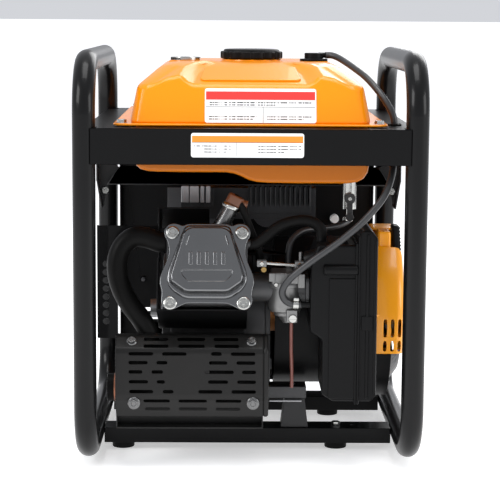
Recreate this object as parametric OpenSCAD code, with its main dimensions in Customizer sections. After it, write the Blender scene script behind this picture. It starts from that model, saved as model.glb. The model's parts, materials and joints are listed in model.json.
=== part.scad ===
// Open-frame inverter generator: two bent-tube hoops carry the engine, the alternator, the fuel
// tank and the control panel. +X points to the recoil starter, -Y to the muffler side, +Z up.
// The origin is on the ground under the middle of the frame.

/* [Frame] */
// Width over the two hoops
frame_w = 430; // [410:1:520]
// Length of the hoops, front to back
frame_l = 448; // [440:1:540]
// Height from the ground to the top of the hoops
frame_h = 520; // [515:1:580]
// Outer diameter of the hoop tube
tube_d = 28; // [24:0.5:34]
// Wall of the hoop tube
tube_wall = 1.5; // [1:0.1:3]
// Centre-line radius of the hoop bends
bend_r = 62; // [50:1:80]
// Height of the top edge of the panels that carry the tank
panel_top = 428; // [420:1:440]
// Height of those panels
panel_h = 43.5; // [30:0.5:50]
// Thickness of the folded sheet
sheet = 2; // [1.5:0.1:3]
// Diameter of a rubber foot
foot_d = 29; // [24:1:32]
// Height of a rubber foot below the frame
foot_h = 9; // [6:1:14]
// Height of the two base rails
base_h = 20; // [16:1:24]
// Radius of the holes for an optional wheel kit
kit_hole_r = 4.5; // [3:0.1:6]

/* [Tank] */
// Width of the tank flange
tank_w = 334; // [320:1:340]
// Length of the tank flange
tank_l = 400; // [380:1:410]
// Height of the upper shell above its flange
tank_rise = 73; // [68:1:76]
// Wall of the tank shells
tank_wall = 1.6; // [1:0.1:3]
// Outer radius of the fuel cap
cap_r = 40.5; // [38:0.5:46]
// Outer radius of the filler neck
neck_r = 30; // [26:0.5:33]
// Radius of the fuel gauge bezel
gauge_r = 19.5; // [17:0.5:22]

/* [Engine] */
// Height of the crankshaft axis
crank_z = 172; // [170:1:176]
// Lean of the cylinder above the horizontal, in degrees
lean = 25; // [23:1:27]
// Radius of the cylinder bore
bore_r = 35.2; // [30:0.1:38]
// Throw of the crank, half the stroke
throw = 27; // [22:1:29]
// Radius of the crankshaft's main journals
shaft_r = 12.5; // [10:0.5:15]
// Outer radius of the crankcase drum
case_r = 74; // [72:1:78]
// Outer radius of the blower drum
blower_r = 98; // [94:1:100]
// Outer radius of the recoil cover
recoil_r = 115; // [108:1:118]
// Radius of the rope pulley
pulley_r = 52; // [44:1:56]
// Inner radius of the exhaust outlet
outlet_r = 15; // [12:0.5:18]

/* [Fits] */
// Radial clearance of a running fit
run_fit = 0.06; // [0.02:0.01:0.1]
// Radial clearance of a screw or a plug in its hole
loose_fit = 0.25; // [0.1:0.05:0.5]
// Gap between curved faces that only stand near each other
air_gap = 0.3; // [0.2:0.05:0.6]

/* [Hidden] */
$fn = 48;

// Frame
tube_r = tube_d / 2;
hoop_x = frame_w / 2 - tube_r;
hoop_y = frame_l / 2 - tube_r;
inner_x = hoop_x - tube_r;
low_z = foot_h + tube_r;
high_z = frame_h - tube_r;
seam_gap = 0.6;
seam_y = [-23, 24];
sleeve_len = 40;
panel_low = panel_top - panel_h;
panel_face = frame_l / 2 - 2;
panel_depth = 22;
rail_in = tank_w / 2 - 20;
rail_end = hoop_y - tube_r - 0.5;
base_top = foot_h + base_h;
base_wall = 2.5;
near_rail = [-88, -50];
far_rail = [99, 137];
foot_x = [-163, 116];
rail_mid = [(near_rail[0] + near_rail[1]) / 2, (far_rail[0] + far_rail[1]) / 2];
kit_x = 140;
beam_y = [-50, 0];
beam_z = [343, 364];

// Tank: height above the flange, half width, half length and corner radius of each level
tank_z = panel_top + 3.2;
tank_top = tank_z + tank_rise;
tank_levels = [
  [0, 147.5, 190, 15], [45, 139, 172, 16], [tank_rise - 4, 112, 128, 22], [tank_rise, 96, 110, 22]
];
tank_face_lean = atan((tank_levels[0][2] - tank_levels[1][2]) / tank_levels[1][0]);
tank_bolt = [157, 180];
cap_at = [2.7, -20];
gauge_at = [-83, -30];
valve_at = [83, -40];
petcock_at = [129, -75];
grommet_at = [178.5, -143];
grommet_r = 7;
hose_r = 4.25;

// Engine
bore_x = -52.5;
case_x = [-112, 22];
case_wall = 7;
cover_x = 29;
deck = 82;
head_z = [150, 196];
pin_z = throw;
wrist_z = 115;
rod_gap = 1.5;
rod_half = 8;
web_r = 38;
bolt_r = 3;
mount_x = [-95, 61];
mount_z = [base_top, 68];
mount_top = 84;
blower_x = [34, 160];
recoil_x = [160.5, 199];
recoil_split = 132;
grip_at = [186.5, -45, 266];
cover_bolts = [[-43, 43], [43, 43], [-45, -43], [45, -43]];
carb_at = [49, -150, 225];
box_split = 133;
box_y = [-190, -102];
box_wall = 2.5;
muffler_y = [-168, -98];
muffler_z = [72, 158];
muffler_x = [-155, 10];
outlet_at = [-133, 93];
port = [-50, 36, 178];
shield_x = [-163, 16];
shield_line = [[-166, 168], [-173, 167], [-190, 152], [-194, 92], [-176, 65]];
panel_y = frame_l / 2 - 17;
panel_z = [34, 382];
panel_half = inner_x - 4;
switch_x = [110, 145];
switch_z = 335;
breaker_at = [128, 270];
round_at = [30, 280];

// Routes of the hoses, the lead and the exhaust pipe
vapour_route = [
  [100, -40, 511.9], [107, -43, 511.6], [116, -52, 508], [131, -74, 498], [147, -105, 485], [162, -128, 467],
  [173, -139, 450], [178.5, -143, 436], [178.5, -143, 420], [178, -148, 402], [176.5, -166, 384],
  [172.5, -187, 368], [165, -196, 349], [154, -199, 333], [136, -200, 313], [118, -200, 297],
  [100, -200, 283], [79, -199, 268], [58, -196, 251], [45, -192, 237], [40, -189, 225],
  [44, -185, 214.5], [52, -182.5, 209.5], [62, -182, 208.5]
];
vapour_end = vapour_route[len(vapour_route) - 1];
fuel_route = [
  [129, -75, 306.8], [128, -76, 300], [112, -86, 294], [88, -98, 292], [68, -110, 291],
  [54, -120, 281], [50, -125, 266], [50, -126, 246.1]
];
drain_route = [[55, -159, 180], [55, -160, 150], [54, -160, 120], [54, -160, 97]];
breather_route = [
  [3, -155, 280], [9, -155, 281], [19, -154, 288], [37, -151, 302], [59, -150, 309],
  [77, -150, 308], [88, -150, 300], [90, -150, 292]
];
lead_route = [[-13, -129, 338], [-4, -130, 340], [6, -131, 325], [11, -131, 300], [13, -128, 271]];
exhaust_route = [
  [-105, -146, 280], [-113, -146, 281], [-127, -146, 286], [-144, -146, 287], [-158, -147, 276],
  [-165, -149, 257], [-163, -151, 232], [-152, -152, 207], [-136, -151, 185], [-127, -150, 169],
  [-126, -150, 159]
];

function unit(v) = v / norm(v);

function spline(a, b, c, d, t) =
  0.5 * (2 * b + (c - a) * t + (2 * a - 5 * b + 4 * c - d) * t * t
  + (3 * b - a - 3 * c + d) * t * t * t);

function smooth(route, steps) = concat(
  [for (i = [0 : len(route) - 2], j = [0 : steps - 1])
    spline(route[max(i - 1, 0)], route[i], route[i + 1], route[min(i + 2, len(route) - 1)],
      j / steps)],
  [route[len(route) - 1]]
);

function tangents(p) =
  [for (i = [0 : len(p) - 1]) unit(p[min(i + 1, len(p) - 1)] - p[max(i - 1, 0)])];

function sides_of(t) = [
  for (i = 0, n = unit(cross(t[0], [0.3, 0.5, 0.8])); i < len(t);
    i = i + 1, n = i < len(t) ? unit(n - t[i] * (t[i] * n)) : n) n
];

// A round tube or cord along a route, with flat ends
module sweep(route, r, sides = 10, steps = 3) {
  line = smooth(route, steps);
  dirs = tangents(line);
  side = sides_of(dirs);
  last = len(line) - 1;
  points = [for (i = [0 : last], k = [0 : sides - 1])
    line[i] + r * (side[i] * cos(k * 360 / sides) + cross(dirs[i], side[i]) * sin(k * 360 / sides))];
  walls = [for (i = [0 : last - 1], k = [0 : sides - 1])
    [i * sides + k, i * sides + (k + 1) % sides, (i + 1) * sides + (k + 1) % sides,
      (i + 1) * sides + k]];
  polyhedron(points, concat([for (w = walls) [w[0], w[3], w[2]]],
    [for (w = walls) [w[0], w[2], w[1]]], [[for (k = [0 : sides - 1]) k]],
    [[for (k = [sides - 1 : -1 : 0]) last * sides + k]]), convexity = 10);
}

module box(a, b) { translate(a) cube(b - a); }

// A round bar along X, Y or Z between two stations
module bar_x(x0, x1, r) { translate([x0, 0, 0]) rotate([0, 90, 0]) cylinder(h = x1 - x0, r = r); }
module bar_y(y0, y1, r) { translate([0, y1, 0]) rotate([90, 0, 0]) cylinder(h = y1 - y0, r = r); }
module bar_z(z0, z1, r) { translate([0, 0, z0]) cylinder(h = z1 - z0, r = r); }

// An outline given as (X, Z) drawn out along Y, or as (Y, Z) drawn out along X
module slab_y(y0, y1) { translate([0, y1, 0]) rotate([90, 0, 0]) linear_extrude(y1 - y0) children(); }
module slab_x(x0, x1) { translate([x0, 0, 0]) rotate([90, 0, 90]) linear_extrude(x1 - x0) children(); }

module round_rect(w, l, r) {
  square([w - 2 * r, l], center = true);
  square([w, l - 2 * r], center = true);
  for (x = [-1, 1], y = [-1, 1]) translate([x * (w / 2 - r), y * (l / 2 - r)]) circle(r);
}

module slot2d(len, w) {
  square([len - w, w], center = true);
  for (s = [-1, 1]) translate([s * (len - w) / 2, 0]) circle(w / 2, $fn = 24);
}

module hex(z0, z1, r) { translate([0, 0, z0]) cylinder(h = z1 - z0, r = r, $fn = 6); }

module at_crank() { translate([0, 0, crank_z]) children(); }
// X across the engine, Y up across the bore, Z out along the bore
module at_bore() { at_crank() rotate([90 - lean, 0, 0]) translate([bore_x, 0, 0]) children(); }
module at_plug() { translate([-40.5, -129, 285]) rotate([0, 27, 0]) children(); }
module at_mounts() { for (x = mount_x, y = rail_mid) translate([x, y, 0]) children(); }
module at_feet() { for (x = foot_x, y = rail_mid) translate([x, y, 0]) children(); }
module at_tank_bolts() {
  for (x = [-1, 1], y = [-1, 1]) translate([x * tank_bolt[0], y * tank_bolt[1], 0]) children();
}

// ---- Frame ----

module tube2d() { difference() { circle(tube_r); circle(tube_r - tube_wall); } }

module tube_run(from, to, across) {
  translate([from, across, 0]) rotate([0, 90, 0]) linear_extrude(to - from) tube2d();
}

module hoop(side) {
  y1 = hoop_y - bend_r;
  seam = seam_y[side > 0 ? 1 : 0];
  translate([side * hoop_x, 0, 0]) rotate([90, 0, 90]) {
    for (s = [0, 1]) mirror([s, 0, 0]) {
      translate([y1, high_z - bend_r, 0]) rotate_extrude(angle = 90) translate([bend_r, 0]) tube2d();
      translate([y1, low_z + bend_r, 0]) rotate([0, 0, -90])
        rotate_extrude(angle = 90) translate([bend_r, 0]) tube2d();
      translate([hoop_y, low_z + bend_r, 0]) rotate([-90, 0, 0])
        linear_extrude(high_z - low_z - 2 * bend_r) tube2d();
    }
    tube_run(-y1, y1, high_z);
    tube_run(-y1, seam - seam_gap / 2, low_z);
    tube_run(seam + seam_gap / 2, y1, low_z);
  }
}

module left_hoop() { color("#1b1b1d") hoop(-1); }
module right_hoop() { color("#1b1b1d") hoop(1); }

module cross_panel() {
  reach = inner_x + 6;
  difference() {
    union() {
      box([-reach, panel_face - sheet, panel_low], [reach, panel_face, panel_top]);
      for (z = [panel_low, panel_top - sheet])
        box([1 - inner_x, panel_face - panel_depth, z], [inner_x - 1, panel_face, z + sheet]);
    }
    for (s = [-1, 1]) translate([s * hoop_x, hoop_y, 0])
      bar_z(panel_low - 1, panel_top + 1, tube_r + air_gap);
  }
}

module cross_panels() {
  color("#1f1f21") {
    cross_panel();
    mirror([0, 1, 0]) cross_panel();
  }
}

module side_rail() {
  meet_y = panel_face - panel_depth;
  difference() {
    union() {
      box([rail_in, -meet_y, panel_top - sheet], [inner_x - 1, meet_y, panel_top]);
      box([inner_x - 2, -rail_end, panel_top - sheet], [hoop_x, rail_end, panel_top]);
      box([hoop_x - sheet, -rail_end, panel_low], [hoop_x, rail_end, panel_top]);
    }
    for (y = [-1, 1]) translate([tank_bolt[0], y * tank_bolt[1], 0])
      bar_z(panel_top - 3, panel_top + 1, bolt_r + loose_fit);
  }
}

module side_rails() {
  color("#252527") {
    mirror([1, 0, 0]) side_rail();
    difference() {
      side_rail();
      translate([grommet_at[0], grommet_at[1], 0]) bar_z(panel_top - 3, panel_top + 1, grommet_r);
    }
  }
}

// The hanger plate, the gusset and its slanted return at one end of the beam
module beam_end() {
  hang_x = hoop_x - sheet;
  foot = [hang_x - 8, 312];
  box([hang_x - sheet, beam_y[0] + 5, 348], [hang_x, beam_y[1] - 5, panel_top - 4]);
  slab_y(-28, -26) difference() {
    polygon([[inner_x - 2, beam_z[0]], [inner_x - 17, beam_z[1]], [hang_x - 1, 384],
      [hang_x - 0.5, 349], foot]);
    translate([inner_x + 1, 334]) circle(bolt_r + loose_fit);
  }
  slab_y(beam_y[0] + 5, beam_y[1] - 5)
    polygon([[hang_x, 350], foot + [sheet, 0], foot, [hang_x - sheet, 350]]);
}

module cross_beam() {
  out = inner_x - 2;
  color("#1a1a1c") {
    slab_y(beam_y[0], beam_y[1]) difference() {
      polygon([[-out, beam_z[0]], [15 - out, beam_z[1]], [out - 15, beam_z[1]], [out, beam_z[0]]]);
      polygon([[3.5 - out, beam_z[0] + sheet], [16.2 - out, beam_z[1] + 1],
        [out - 16.2, beam_z[1] + 1], [out - 3.5, beam_z[0] + sheet]]);
    }
    beam_end();
    mirror([1, 0, 0]) beam_end();
  }
}

// Electronics block with its heat sink, hung from the beam
module inverter_module() {
  top = beam_z[0];
  color("#b9bdc1") {
    box([-90, 8, 292], [90, 150, 334]);
    for (x = [2 : 6.5 : 80]) box([x, beam_y[0] + 30, 312], [x + 2, 9, 338]);
    box([0, 4, 300], [84, 9, 338]);
    for (x = [-76, -58]) box([x, beam_y[0] + 34, 312], [x + 12, 9, 336]);
    for (x = [-80, 60]) box([x, -4, 330], [x + 12, 16, top]);
  }
}

module base_rail(y0, y1) {
  reach = inner_x - air_gap;
  mid = (y0 + y1) / 2;
  difference() {
    box([-reach, y0, foot_h], [reach, y1, base_top]);
    box([-reach - 1, y0 + base_wall, foot_h - 1], [reach + 1, y1 - base_wall, base_top - 2]);
    for (x = [-kit_x, kit_x]) translate([x, mid, 0]) bar_z(base_top - 3, base_top + 1, kit_hole_r);
    for (x = mount_x) translate([x, mid, 0]) bar_z(base_top - 3, base_top + 1, 4 + loose_fit);
    for (x = foot_x) translate([x, mid, 0]) bar_z(base_top - 3, base_top + 1, bolt_r + loose_fit);
  }
}

module base_rails() {
  color("#1c1c1e") {
    base_rail(near_rail[0], near_rail[1]);
    base_rail(far_rail[0], far_rail[1]);
  }
}

module rubber_feet() {
  color("#222222") at_feet() difference() {
    union() {
      bar_z(0, foot_h, foot_d / 2);
      bar_z(foot_h, base_top - 2, 10);
    }
    bar_z(3, base_top, bolt_r + loose_fit);
  }
}

module frame_bolts() {
  color("silver") {
    at_tank_bolts() {
      bar_z(panel_top, tank_z - 2, 9);
      bar_z(panel_top - 12, tank_z, bolt_r);
      bar_z(tank_z, tank_z + 1.2, 8);
      hex(tank_z + 1.2, tank_z + 5, 6);
    }
    at_feet() {
      bar_z(4, base_top + 1, bolt_r);
      hex(base_top, base_top + 5, 6);
    }
    for (s = [-1, 1]) translate([s * (inner_x + 1), 0, 334]) {
      bar_y(-29, -18, bolt_r);
      translate([0, -28, 0]) rotate([90, 0, 0]) hex(0, 4, 5);
    }
    for (side = [-1, 1]) translate([side * hoop_x, 0, low_z]) {
      mid = seam_y[side > 0 ? 1 : 0];
      difference() {
        bar_y(mid - sleeve_len / 2, mid + sleeve_len / 2, tube_r - tube_wall - loose_fit);
        bar_y(mid - sleeve_len, mid + sleeve_len, tube_r - tube_wall - loose_fit - 2);
      }
    }
  }
}

module label_plates() {
  color("white") {
    translate([-4, 0, 408.3]) slab_y(-panel_face - 0.5, -panel_face) round_rect(135.4, 29.2, 3);
    translate([12, -tank_levels[0][2], tank_z]) rotate([90 - tank_face_lean, 0, 0])
      translate([0, 24, 0.1]) linear_extrude(0.5) round_rect(135.7, 44, 3);
  }
}

// ---- Tank and fuel ----

module tank_level(level, inset) {
  translate([0, 0, tank_z + level[0] - (level[0] > 0 ? inset + 0.1 : 0)]) linear_extrude(0.1)
    round_rect(2 * (level[1] - inset), 2 * (level[2] - inset), level[3] - inset);
}

// The sunken middle of the top's front edge
module tank_channel(inset) {
  y0 = -tank_levels[0][2] - 5;
  slab_x(-62 - inset, 62 + inset) polygon([
    [y0, tank_z + 46 - inset], [-152, tank_z + 49 - inset], [-114, tank_top + 1 - inset],
    [-114, tank_top + 2], [y0, tank_top + 2]
  ]);
}

module tank_form(inset) {
  difference() {
    hull() for (level = tank_levels) tank_level(level, inset);
    tank_channel(inset);
  }
}

module tank_flange(z0, opening) {
  difference() {
    translate([0, 0, z0]) linear_extrude(1) round_rect(tank_w, tank_l, 12);
    translate([0, 0, z0 - 1]) linear_extrude(3)
      round_rect(opening[0], opening[1], 13);
    at_tank_bolts() bar_z(z0 - 1, z0 + 2, bolt_r + loose_fit);
  }
}

module tank_upper() {
  mouth = 2 * (tank_levels[0][1] - tank_wall);
  mouth_l = 2 * (tank_levels[0][2] - tank_wall);
  color("#f5a300") {
    tank_flange(tank_z - 1, [mouth, mouth_l]);
    difference() {
      tank_form(0);
      tank_form(tank_wall);
      translate([0, 0, tank_z - 0.5]) linear_extrude(1) round_rect(mouth, mouth_l, 13);
      translate([cap_at[0], cap_at[1], 0]) bar_z(tank_top - 12, tank_top + 2, neck_r + loose_fit);
      translate([gauge_at[0], gauge_at[1], 0]) bar_z(tank_top - 12, tank_top + 2, 12 + loose_fit);
      translate([valve_at[0], valve_at[1], 0]) bar_z(tank_top - 12, tank_top + 2, 8 + loose_fit);
    }
  }
}

module tank_tray(inset) {
  translate([2.5, 0, 371 + inset]) linear_extrude(tank_z - 371)
    round_rect(289 - 2 * inset, 370 - 2 * inset, 20 - inset);
  translate([74.5, -115, 356 + inset]) linear_extrude(30)
    round_rect(145 - 2 * inset, 110 - 2 * inset, 15 - inset);
}

module tank_lower() {
  color("#d98800") {
    tank_flange(tank_z - 2, [284, 365]);
    difference() {
      intersection() {
        tank_tray(0);
        box([-170, -200, 300], [170, 200, tank_z - 1]);
      }
      tank_tray(tank_wall);
      translate([petcock_at[0], petcock_at[1], 0]) bar_z(350, 362, 7);
    }
  }
}

module filler_neck() {
  color("#3a3a3c") translate([cap_at[0], cap_at[1], 0]) {
    difference() {
      union() {
        bar_z(tank_top - 14, tank_top + 6.8, neck_r);
        bar_z(tank_top, tank_top + 1.5, neck_r + 4);
      }
      bar_z(tank_top - 15, tank_top + 7, neck_r - 3);
    }
    // Strainer basket, hung from a rim inside the neck
    difference() {
      union() {
        bar_z(tank_top - 54, tank_top + 4, neck_r - 5.5);
        bar_z(tank_top - 8, tank_top - 6, neck_r - 2);
      }
      bar_z(tank_top - 52, tank_top + 5, neck_r - 6.5);
    }
  }
}

module fuel_cap() {
  color("#161617") translate([cap_at[0], cap_at[1], 0]) difference() {
    union() {
      bar_z(tank_top + 2.3, tank_top + 11.8, cap_r);
      bar_z(tank_top + 11.8, tank_top + 14.8, cap_r - 3);
    }
    bar_z(tank_top, tank_top + 10.8, neck_r + 5.5);
    for (a = [0 : 20 : 340]) rotate(a) translate([cap_r + 2, 0, 0])
      bar_z(tank_top, tank_top + 16, 3.6, $fn = 20);
  }
}

module cap_gasket() {
  color("#111111") translate([cap_at[0], cap_at[1], 0]) difference() {
    bar_z(tank_top + 6.9, tank_top + 10.75, neck_r + 1);
    bar_z(tank_top, tank_top + 12, neck_r - 5);
  }
}

module fuel_gauge() {
  z0 = tank_top + 0.2;
  color("silver") translate([gauge_at[0], gauge_at[1], 0]) {
    difference() {
      bar_z(z0, z0 + 4, gauge_r);
      bar_z(z0 + 1.5, z0 + 5, gauge_r - 3);
    }
    bar_z(z0 + 1, z0 + 3.4, 1.5);
    bar_z(z0 - 34, z0 + 0.5, 12);
    // Arm and float
    translate([0, 0, z0 - 32]) rotate([0, 120, 0]) cylinder(h = 34, r = 1.5);
    translate([29, 0, z0 - 56]) bar_z(0, 12, 10);
  }
}

module gauge_needle() {
  z0 = tank_top + 2.2;
  color("red") translate([gauge_at[0], gauge_at[1], 0]) difference() {
    union() {
      bar_z(z0, z0 + 0.8, 3);
      box([-0.8, 0, z0], [0.8, 13, z0 + 0.8]);
    }
    bar_z(z0 - 1, z0 + 2, 1.5 + run_fit);
  }
}

module rollover_valve() {
  z0 = tank_top + 0.1;
  color("#19191a") translate([valve_at[0], valve_at[1], 0]) {
    bar_z(z0, z0 + 3, 18);
    bar_z(z0 + 2, z0 + 10.5, 12);
    bar_z(z0 - 20, z0 + 1, 8);
    translate([0, 0, vapour_route[0][2]]) bar_x(6, vapour_route[0][0] - valve_at[0] - 2, 3.5);
  }
}

module hose_grommet() {
  color("#161616") translate([grommet_at[0], grommet_at[1], 0]) difference() {
    union() {
      bar_z(panel_top - 4.5, panel_top + 2.5, grommet_r - air_gap);
      bar_z(panel_top, panel_top + 2.5, grommet_r + 2.5);
      bar_z(panel_top - 4.5, panel_top - sheet, grommet_r + 2.5);
    }
    bar_z(panel_top - 6, panel_top + 4, hose_r + air_gap);
  }
}

module vapour_hose() { color("#505355") sweep(vapour_route, hose_r, 10, 3); }

module fuel_valve() {
  color("silver") translate([petcock_at[0], petcock_at[1], 0]) {
    bar_z(316, 351, 9);
    bar_z(350, 362, 7 - loose_fit);
    hex(351, 356, 11);
    bar_z(307.6, 317, 3.5);
    translate([0, 0, 331]) {
      bar_y(-15, -6, 7);
      bar_y(-21, -14, 2.5);
    }
  }
}

module fuel_valve_lever() {
  color("#1b1b1b") translate([petcock_at[0], petcock_at[1], 331]) difference() {
    union() {
      bar_y(-20, -15.2, 7);
      box([-3.5, -19, -24], [3.5, -15.2, 0]);
      translate([0, 0, -24]) bar_y(-20, -15.2, 5);
    }
    bar_y(-22, -14, 2.5 + run_fit);
  }
}

module fuel_hoses() {
  color("#2a2a2a") sweep(fuel_route, 4, 10, 3);
  color("#8a5a44") sweep(drain_route, 2.2, 8, 3);
}

// ---- Engine ----

module crankcase() {
  inside = case_x[1] + 1;
  color("#8d9093") difference() {
    union() {
      at_crank() bar_x(case_x[0], case_x[1], case_r);
      box([case_x[0], -72, 84], [case_x[1], 110, 150]);
      box([case_x[0] - 6, -86, mount_z[1]], [mount_x[1] + 15, -54, mount_top]);
      box([case_x[0] - 6, 101, mount_z[1]], [mount_x[1] + 15, 135, mount_top]);
      box([case_x[0], -80, 82], [case_x[1], 128, 92]);
      at_bore() box([-48, -48, 40], [48, 48, deck]);
    }
    at_crank() bar_x(case_x[0] + case_wall, inside, case_r - 8);
    box([case_x[0] + case_wall, -65, 96], [inside, 103, 150]);
    at_bore() bar_z(0, deck + 1, bore_r + 5);
    at_crank() bar_x(case_x[0] - 1, case_x[0] + case_wall + 1, shaft_r + run_fit);
    at_mounts() bar_z(60, mount_top - 2, 4 + loose_fit);
    for (y = rail_mid) translate([mount_x[1], y, 0]) bar_z(60, mount_top + 1, 4 + loose_fit);
    translate([6, 0, 112]) bar_y(-75, -60, 9 + loose_fit);
  }
}

module crankcase_cover() {
  color("#9a9da0") difference() {
    union() {
      at_crank() bar_x(case_x[1], cover_x, case_r);
      box([case_x[1], -72, 84.5], [cover_x, 110, 150]);
      at_crank() bar_x(case_x[1] - 8, cover_x, 26);
    }
    at_crank() bar_x(case_x[1] - 9, cover_x + 1, shaft_r + run_fit);
  }
}

module cylinder_barrel() {
  color("#a5a8ab") at_bore() difference() {
    union() {
      bar_z(deck, head_z[0], bore_r + 8);
      bar_z(deck - 22, deck + 1, bore_r + 4.7);
      box([-48, -48, deck], [48, 48, deck + 6]);
      for (i = [1 : 6]) box([-50, -50, deck + 3 + i * 9], [50, 50, deck + 5.4 + i * 9]);
    }
    bar_z(deck - 30, head_z[0] + 1, bore_r);
  }
}

module cylinder_head() {
  color("#b0b3b6") difference() {
    union() {
      at_bore() {
        box([-50, -48, head_z[0]], [50, 48, head_z[1]]);
        translate([port[0], port[1] - 14, port[2] - 18]) cube([10, 14, 18]);
        translate([50, 32.4, 186]) bar_x(-1, 4, 6);
      }
    }
    at_bore() {
      box([-37, -37, 178], [37, 37, head_z[1] + 1]);
      bar_z(head_z[0] - 1, head_z[0] + 8, 28);
      translate([0, port[1] - 8, port[2] - 16]) bar_x(-51, -30, 11);
      for (z = [158, 166]) box([-51, -49, z], [-40, 49, z + 4]);
      for (p = cover_bolts) translate([p[0], p[1], 0]) bar_z(172, head_z[1] + 1, bolt_r + loose_fit);
    }
    at_plug() {
      bar_z(-14, 40, 13);
      bar_z(-30, -13, 7 + loose_fit);
    }
    translate([0, carb_at[1], carb_at[2]]) bar_x(-20, 0, 11);
  }
}

module cover_outline() {
  hull() for (p = cover_bolts) translate(p * 0.93) circle(9, $fn = 32);
  for (p = cover_bolts) translate(p) circle(10);
}

module dome(inset, z0) {
  hull() {
    translate([0, 0, z0]) linear_extrude(0.1)
      polygon([[-40 + inset, -34 + inset], [40 - inset, -34 + inset], [44 - inset, -20],
        [30 - inset, 40 - inset], [-30 + inset, 40 - inset], [-44 + inset, -20]]);
    translate([0, 0, z0 + 15 - inset]) linear_extrude(0.1)
      polygon([[-28 + inset, -30 + inset], [28 - inset, -30 + inset], [37 - inset, -19],
        [22 - inset, 35 - inset], [-22 + inset, 35 - inset], [-37 + inset, -19]]);
  }
}

module valve_cover() {
  z0 = head_z[1];
  color("#c9ccd0") at_bore() difference() {
    union() {
      translate([0, 0, z0]) linear_extrude(3.5) cover_outline();
      dome(0, z0 + 3);
      for (x = [-14, 0, 14]) box([x - 3, -6, z0 + 15], [x + 3, 16, z0 + 19.5]);
    }
    dome(1.6, z0 - 0.1);
    for (p = cover_bolts) translate([p[0], p[1], 0]) bar_z(z0 - 1, z0 + 5, bolt_r + loose_fit);
  }
}

module engine_bolts() {
  color("#d0d2d4") {
    at_bore() for (p = cover_bolts) translate([p[0], p[1], 0]) {
      bar_z(head_z[1] - 22, head_z[1] + 4, bolt_r);
      bar_z(head_z[1] + 3.5, head_z[1] + 4.7, 7.5);
      hex(head_z[1] + 4.7, head_z[1] + 9.5, 6);
    }
    at_mounts() {
      bar_z(base_top - 8, mount_top - 3, 4);
      hex(base_top - 8, base_top - 2, 7);
    }
    for (y = rail_mid) translate([mount_x[1], y, 0]) {
      bar_z(mount_top - 4, mount_top + 7, 4);
      hex(mount_top, mount_top + 5, 7);
    }
    for (x = [-144, 5]) translate([x, 0, 86]) {
      bar_y(muffler_y[0] - 28, muffler_y[0] - 26.2, 8);
      translate([0, muffler_y[0] - 28, 0]) rotate([90, 0, 0]) hex(0, 4.5, 6);
    }
  }
}

module engine_shroud() {
  color("#1d1d1f") {
    at_bore() {
      box([-62, 78, 110], [2, 80, 188]);
      difference() {
        box([-62, -44, 100], [-60, 79, 188]);
        translate([0, port[1], port[2]]) bar_x(-64, -58, 24);
        box([-64, 20, 150], [-58, port[1], 190]);
      }
      box([-60.5, -54, 100], [50, -52, 188]);
      box([-62, -54, 100], [-60, -44, 188]);
    }
    at_crank() difference() {
      bar_x(blower_x[0], blower_x[1], blower_r);
      bar_x(blower_x[0] - 1, blower_x[1] + 1, blower_r - 2.5);
    }
    difference() {
      recoil_shell();
      box([100, -200, recoil_split - 0.3], [250, 200, 400]);
    }
  }
}

module recoil_form(inset) {
  bar_x(recoil_x[0] + inset, 184 - inset, recoil_r - inset);
  translate([184 - inset - 0.01, 0, 0]) rotate([0, 90, 0])
    cylinder(h = recoil_x[1] - 184 + 0.01, r1 = recoil_r - 15 - inset, r2 = recoil_r - 35 - inset);
}

module recoil_shell() {
  at_crank() difference() {
    recoil_form(0);
    recoil_form(2.5);
    bar_x(recoil_x[0] - 1, recoil_x[0] + 4, blower_r - 6);
    for (a = [0 : 30 : 330]) rotate([a, 0, 0]) translate([195, 0, 56]) slab_x(-8, 8) slot2d(8, 22);
  }
}

module recoil_cover() {
  pocket = [grip_at[1] - 22, grip_at[1] + 22];
  color("#f7a600") {
    difference() {
      recoil_shell();
      box([100, -200, 0], [250, 200, recoil_split]);
      box([185, pocket[0], crank_z + 52], [220, pocket[1], 320]);
      translate([0, grip_at[1], grip_at[2] - 8]) bar_x(176, 190, 4);
      for (i = [0 : 2], z = [152, 178]) box([168 + i * 7, -recoil_r - 5, z - 9], [172 + i * 7, -92, z + 9]);
    }
    difference() {
      intersection() {
        box([183, pocket[0] - 2, crank_z + 50], [185, pocket[1] + 2, 300]);
        at_crank() bar_x(180, 190, recoil_r - 16);
      }
      translate([0, grip_at[1], grip_at[2] - 8]) bar_x(180, 190, 4);
    }
    at_crank() bar_x(167, 197, 10);
  }
}

module starter_handle() {
  color("#151515") translate(grip_at) {
    difference() {
      box([0, -14, -26], [14, 14, 26]);
      for (z = [-22 : 4 : 22]) box([13, -15, z - 0.8], [15, 15, z + 0.8]);
    }
    translate([0, 0, -8]) bar_x(-14, 1, 2.5);
  }
}

module recoil_pulley() {
  color("#2b2b2d") at_crank() difference() {
    bar_x(168, 181, pulley_r);
    bar_x(160, 190, 10 + run_fit);
    difference() {
      bar_x(171, 178, pulley_r + 1);
      bar_x(170, 179, pulley_r - 9);
    }
  }
}

module crankshaft() {
  color("#7d8084") at_crank() {
    bar_x(-130, bore_x - rod_half - rod_gap - 11, shaft_r);
    bar_x(bore_x - rod_half - rod_gap - 11, bore_x - rod_half - rod_gap, web_r);
    bar_x(bore_x + rod_half + rod_gap, bore_x + rod_half + rod_gap + 11, web_r);
    bar_x(bore_x + rod_half + rod_gap + 11, 150, shaft_r);
  }
}

module flywheel_rotor() {
  color("#5b5e62") at_crank() difference() {
    bar_x(46, 98, 82);
    bar_x(45, 92, 69);
    bar_x(90, 99, shaft_r + run_fit);
    for (a = [0 : 60 : 300]) rotate([a, 0, 0]) translate([0, 0, 40]) bar_x(90, 99, 8);
  }
}

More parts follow.
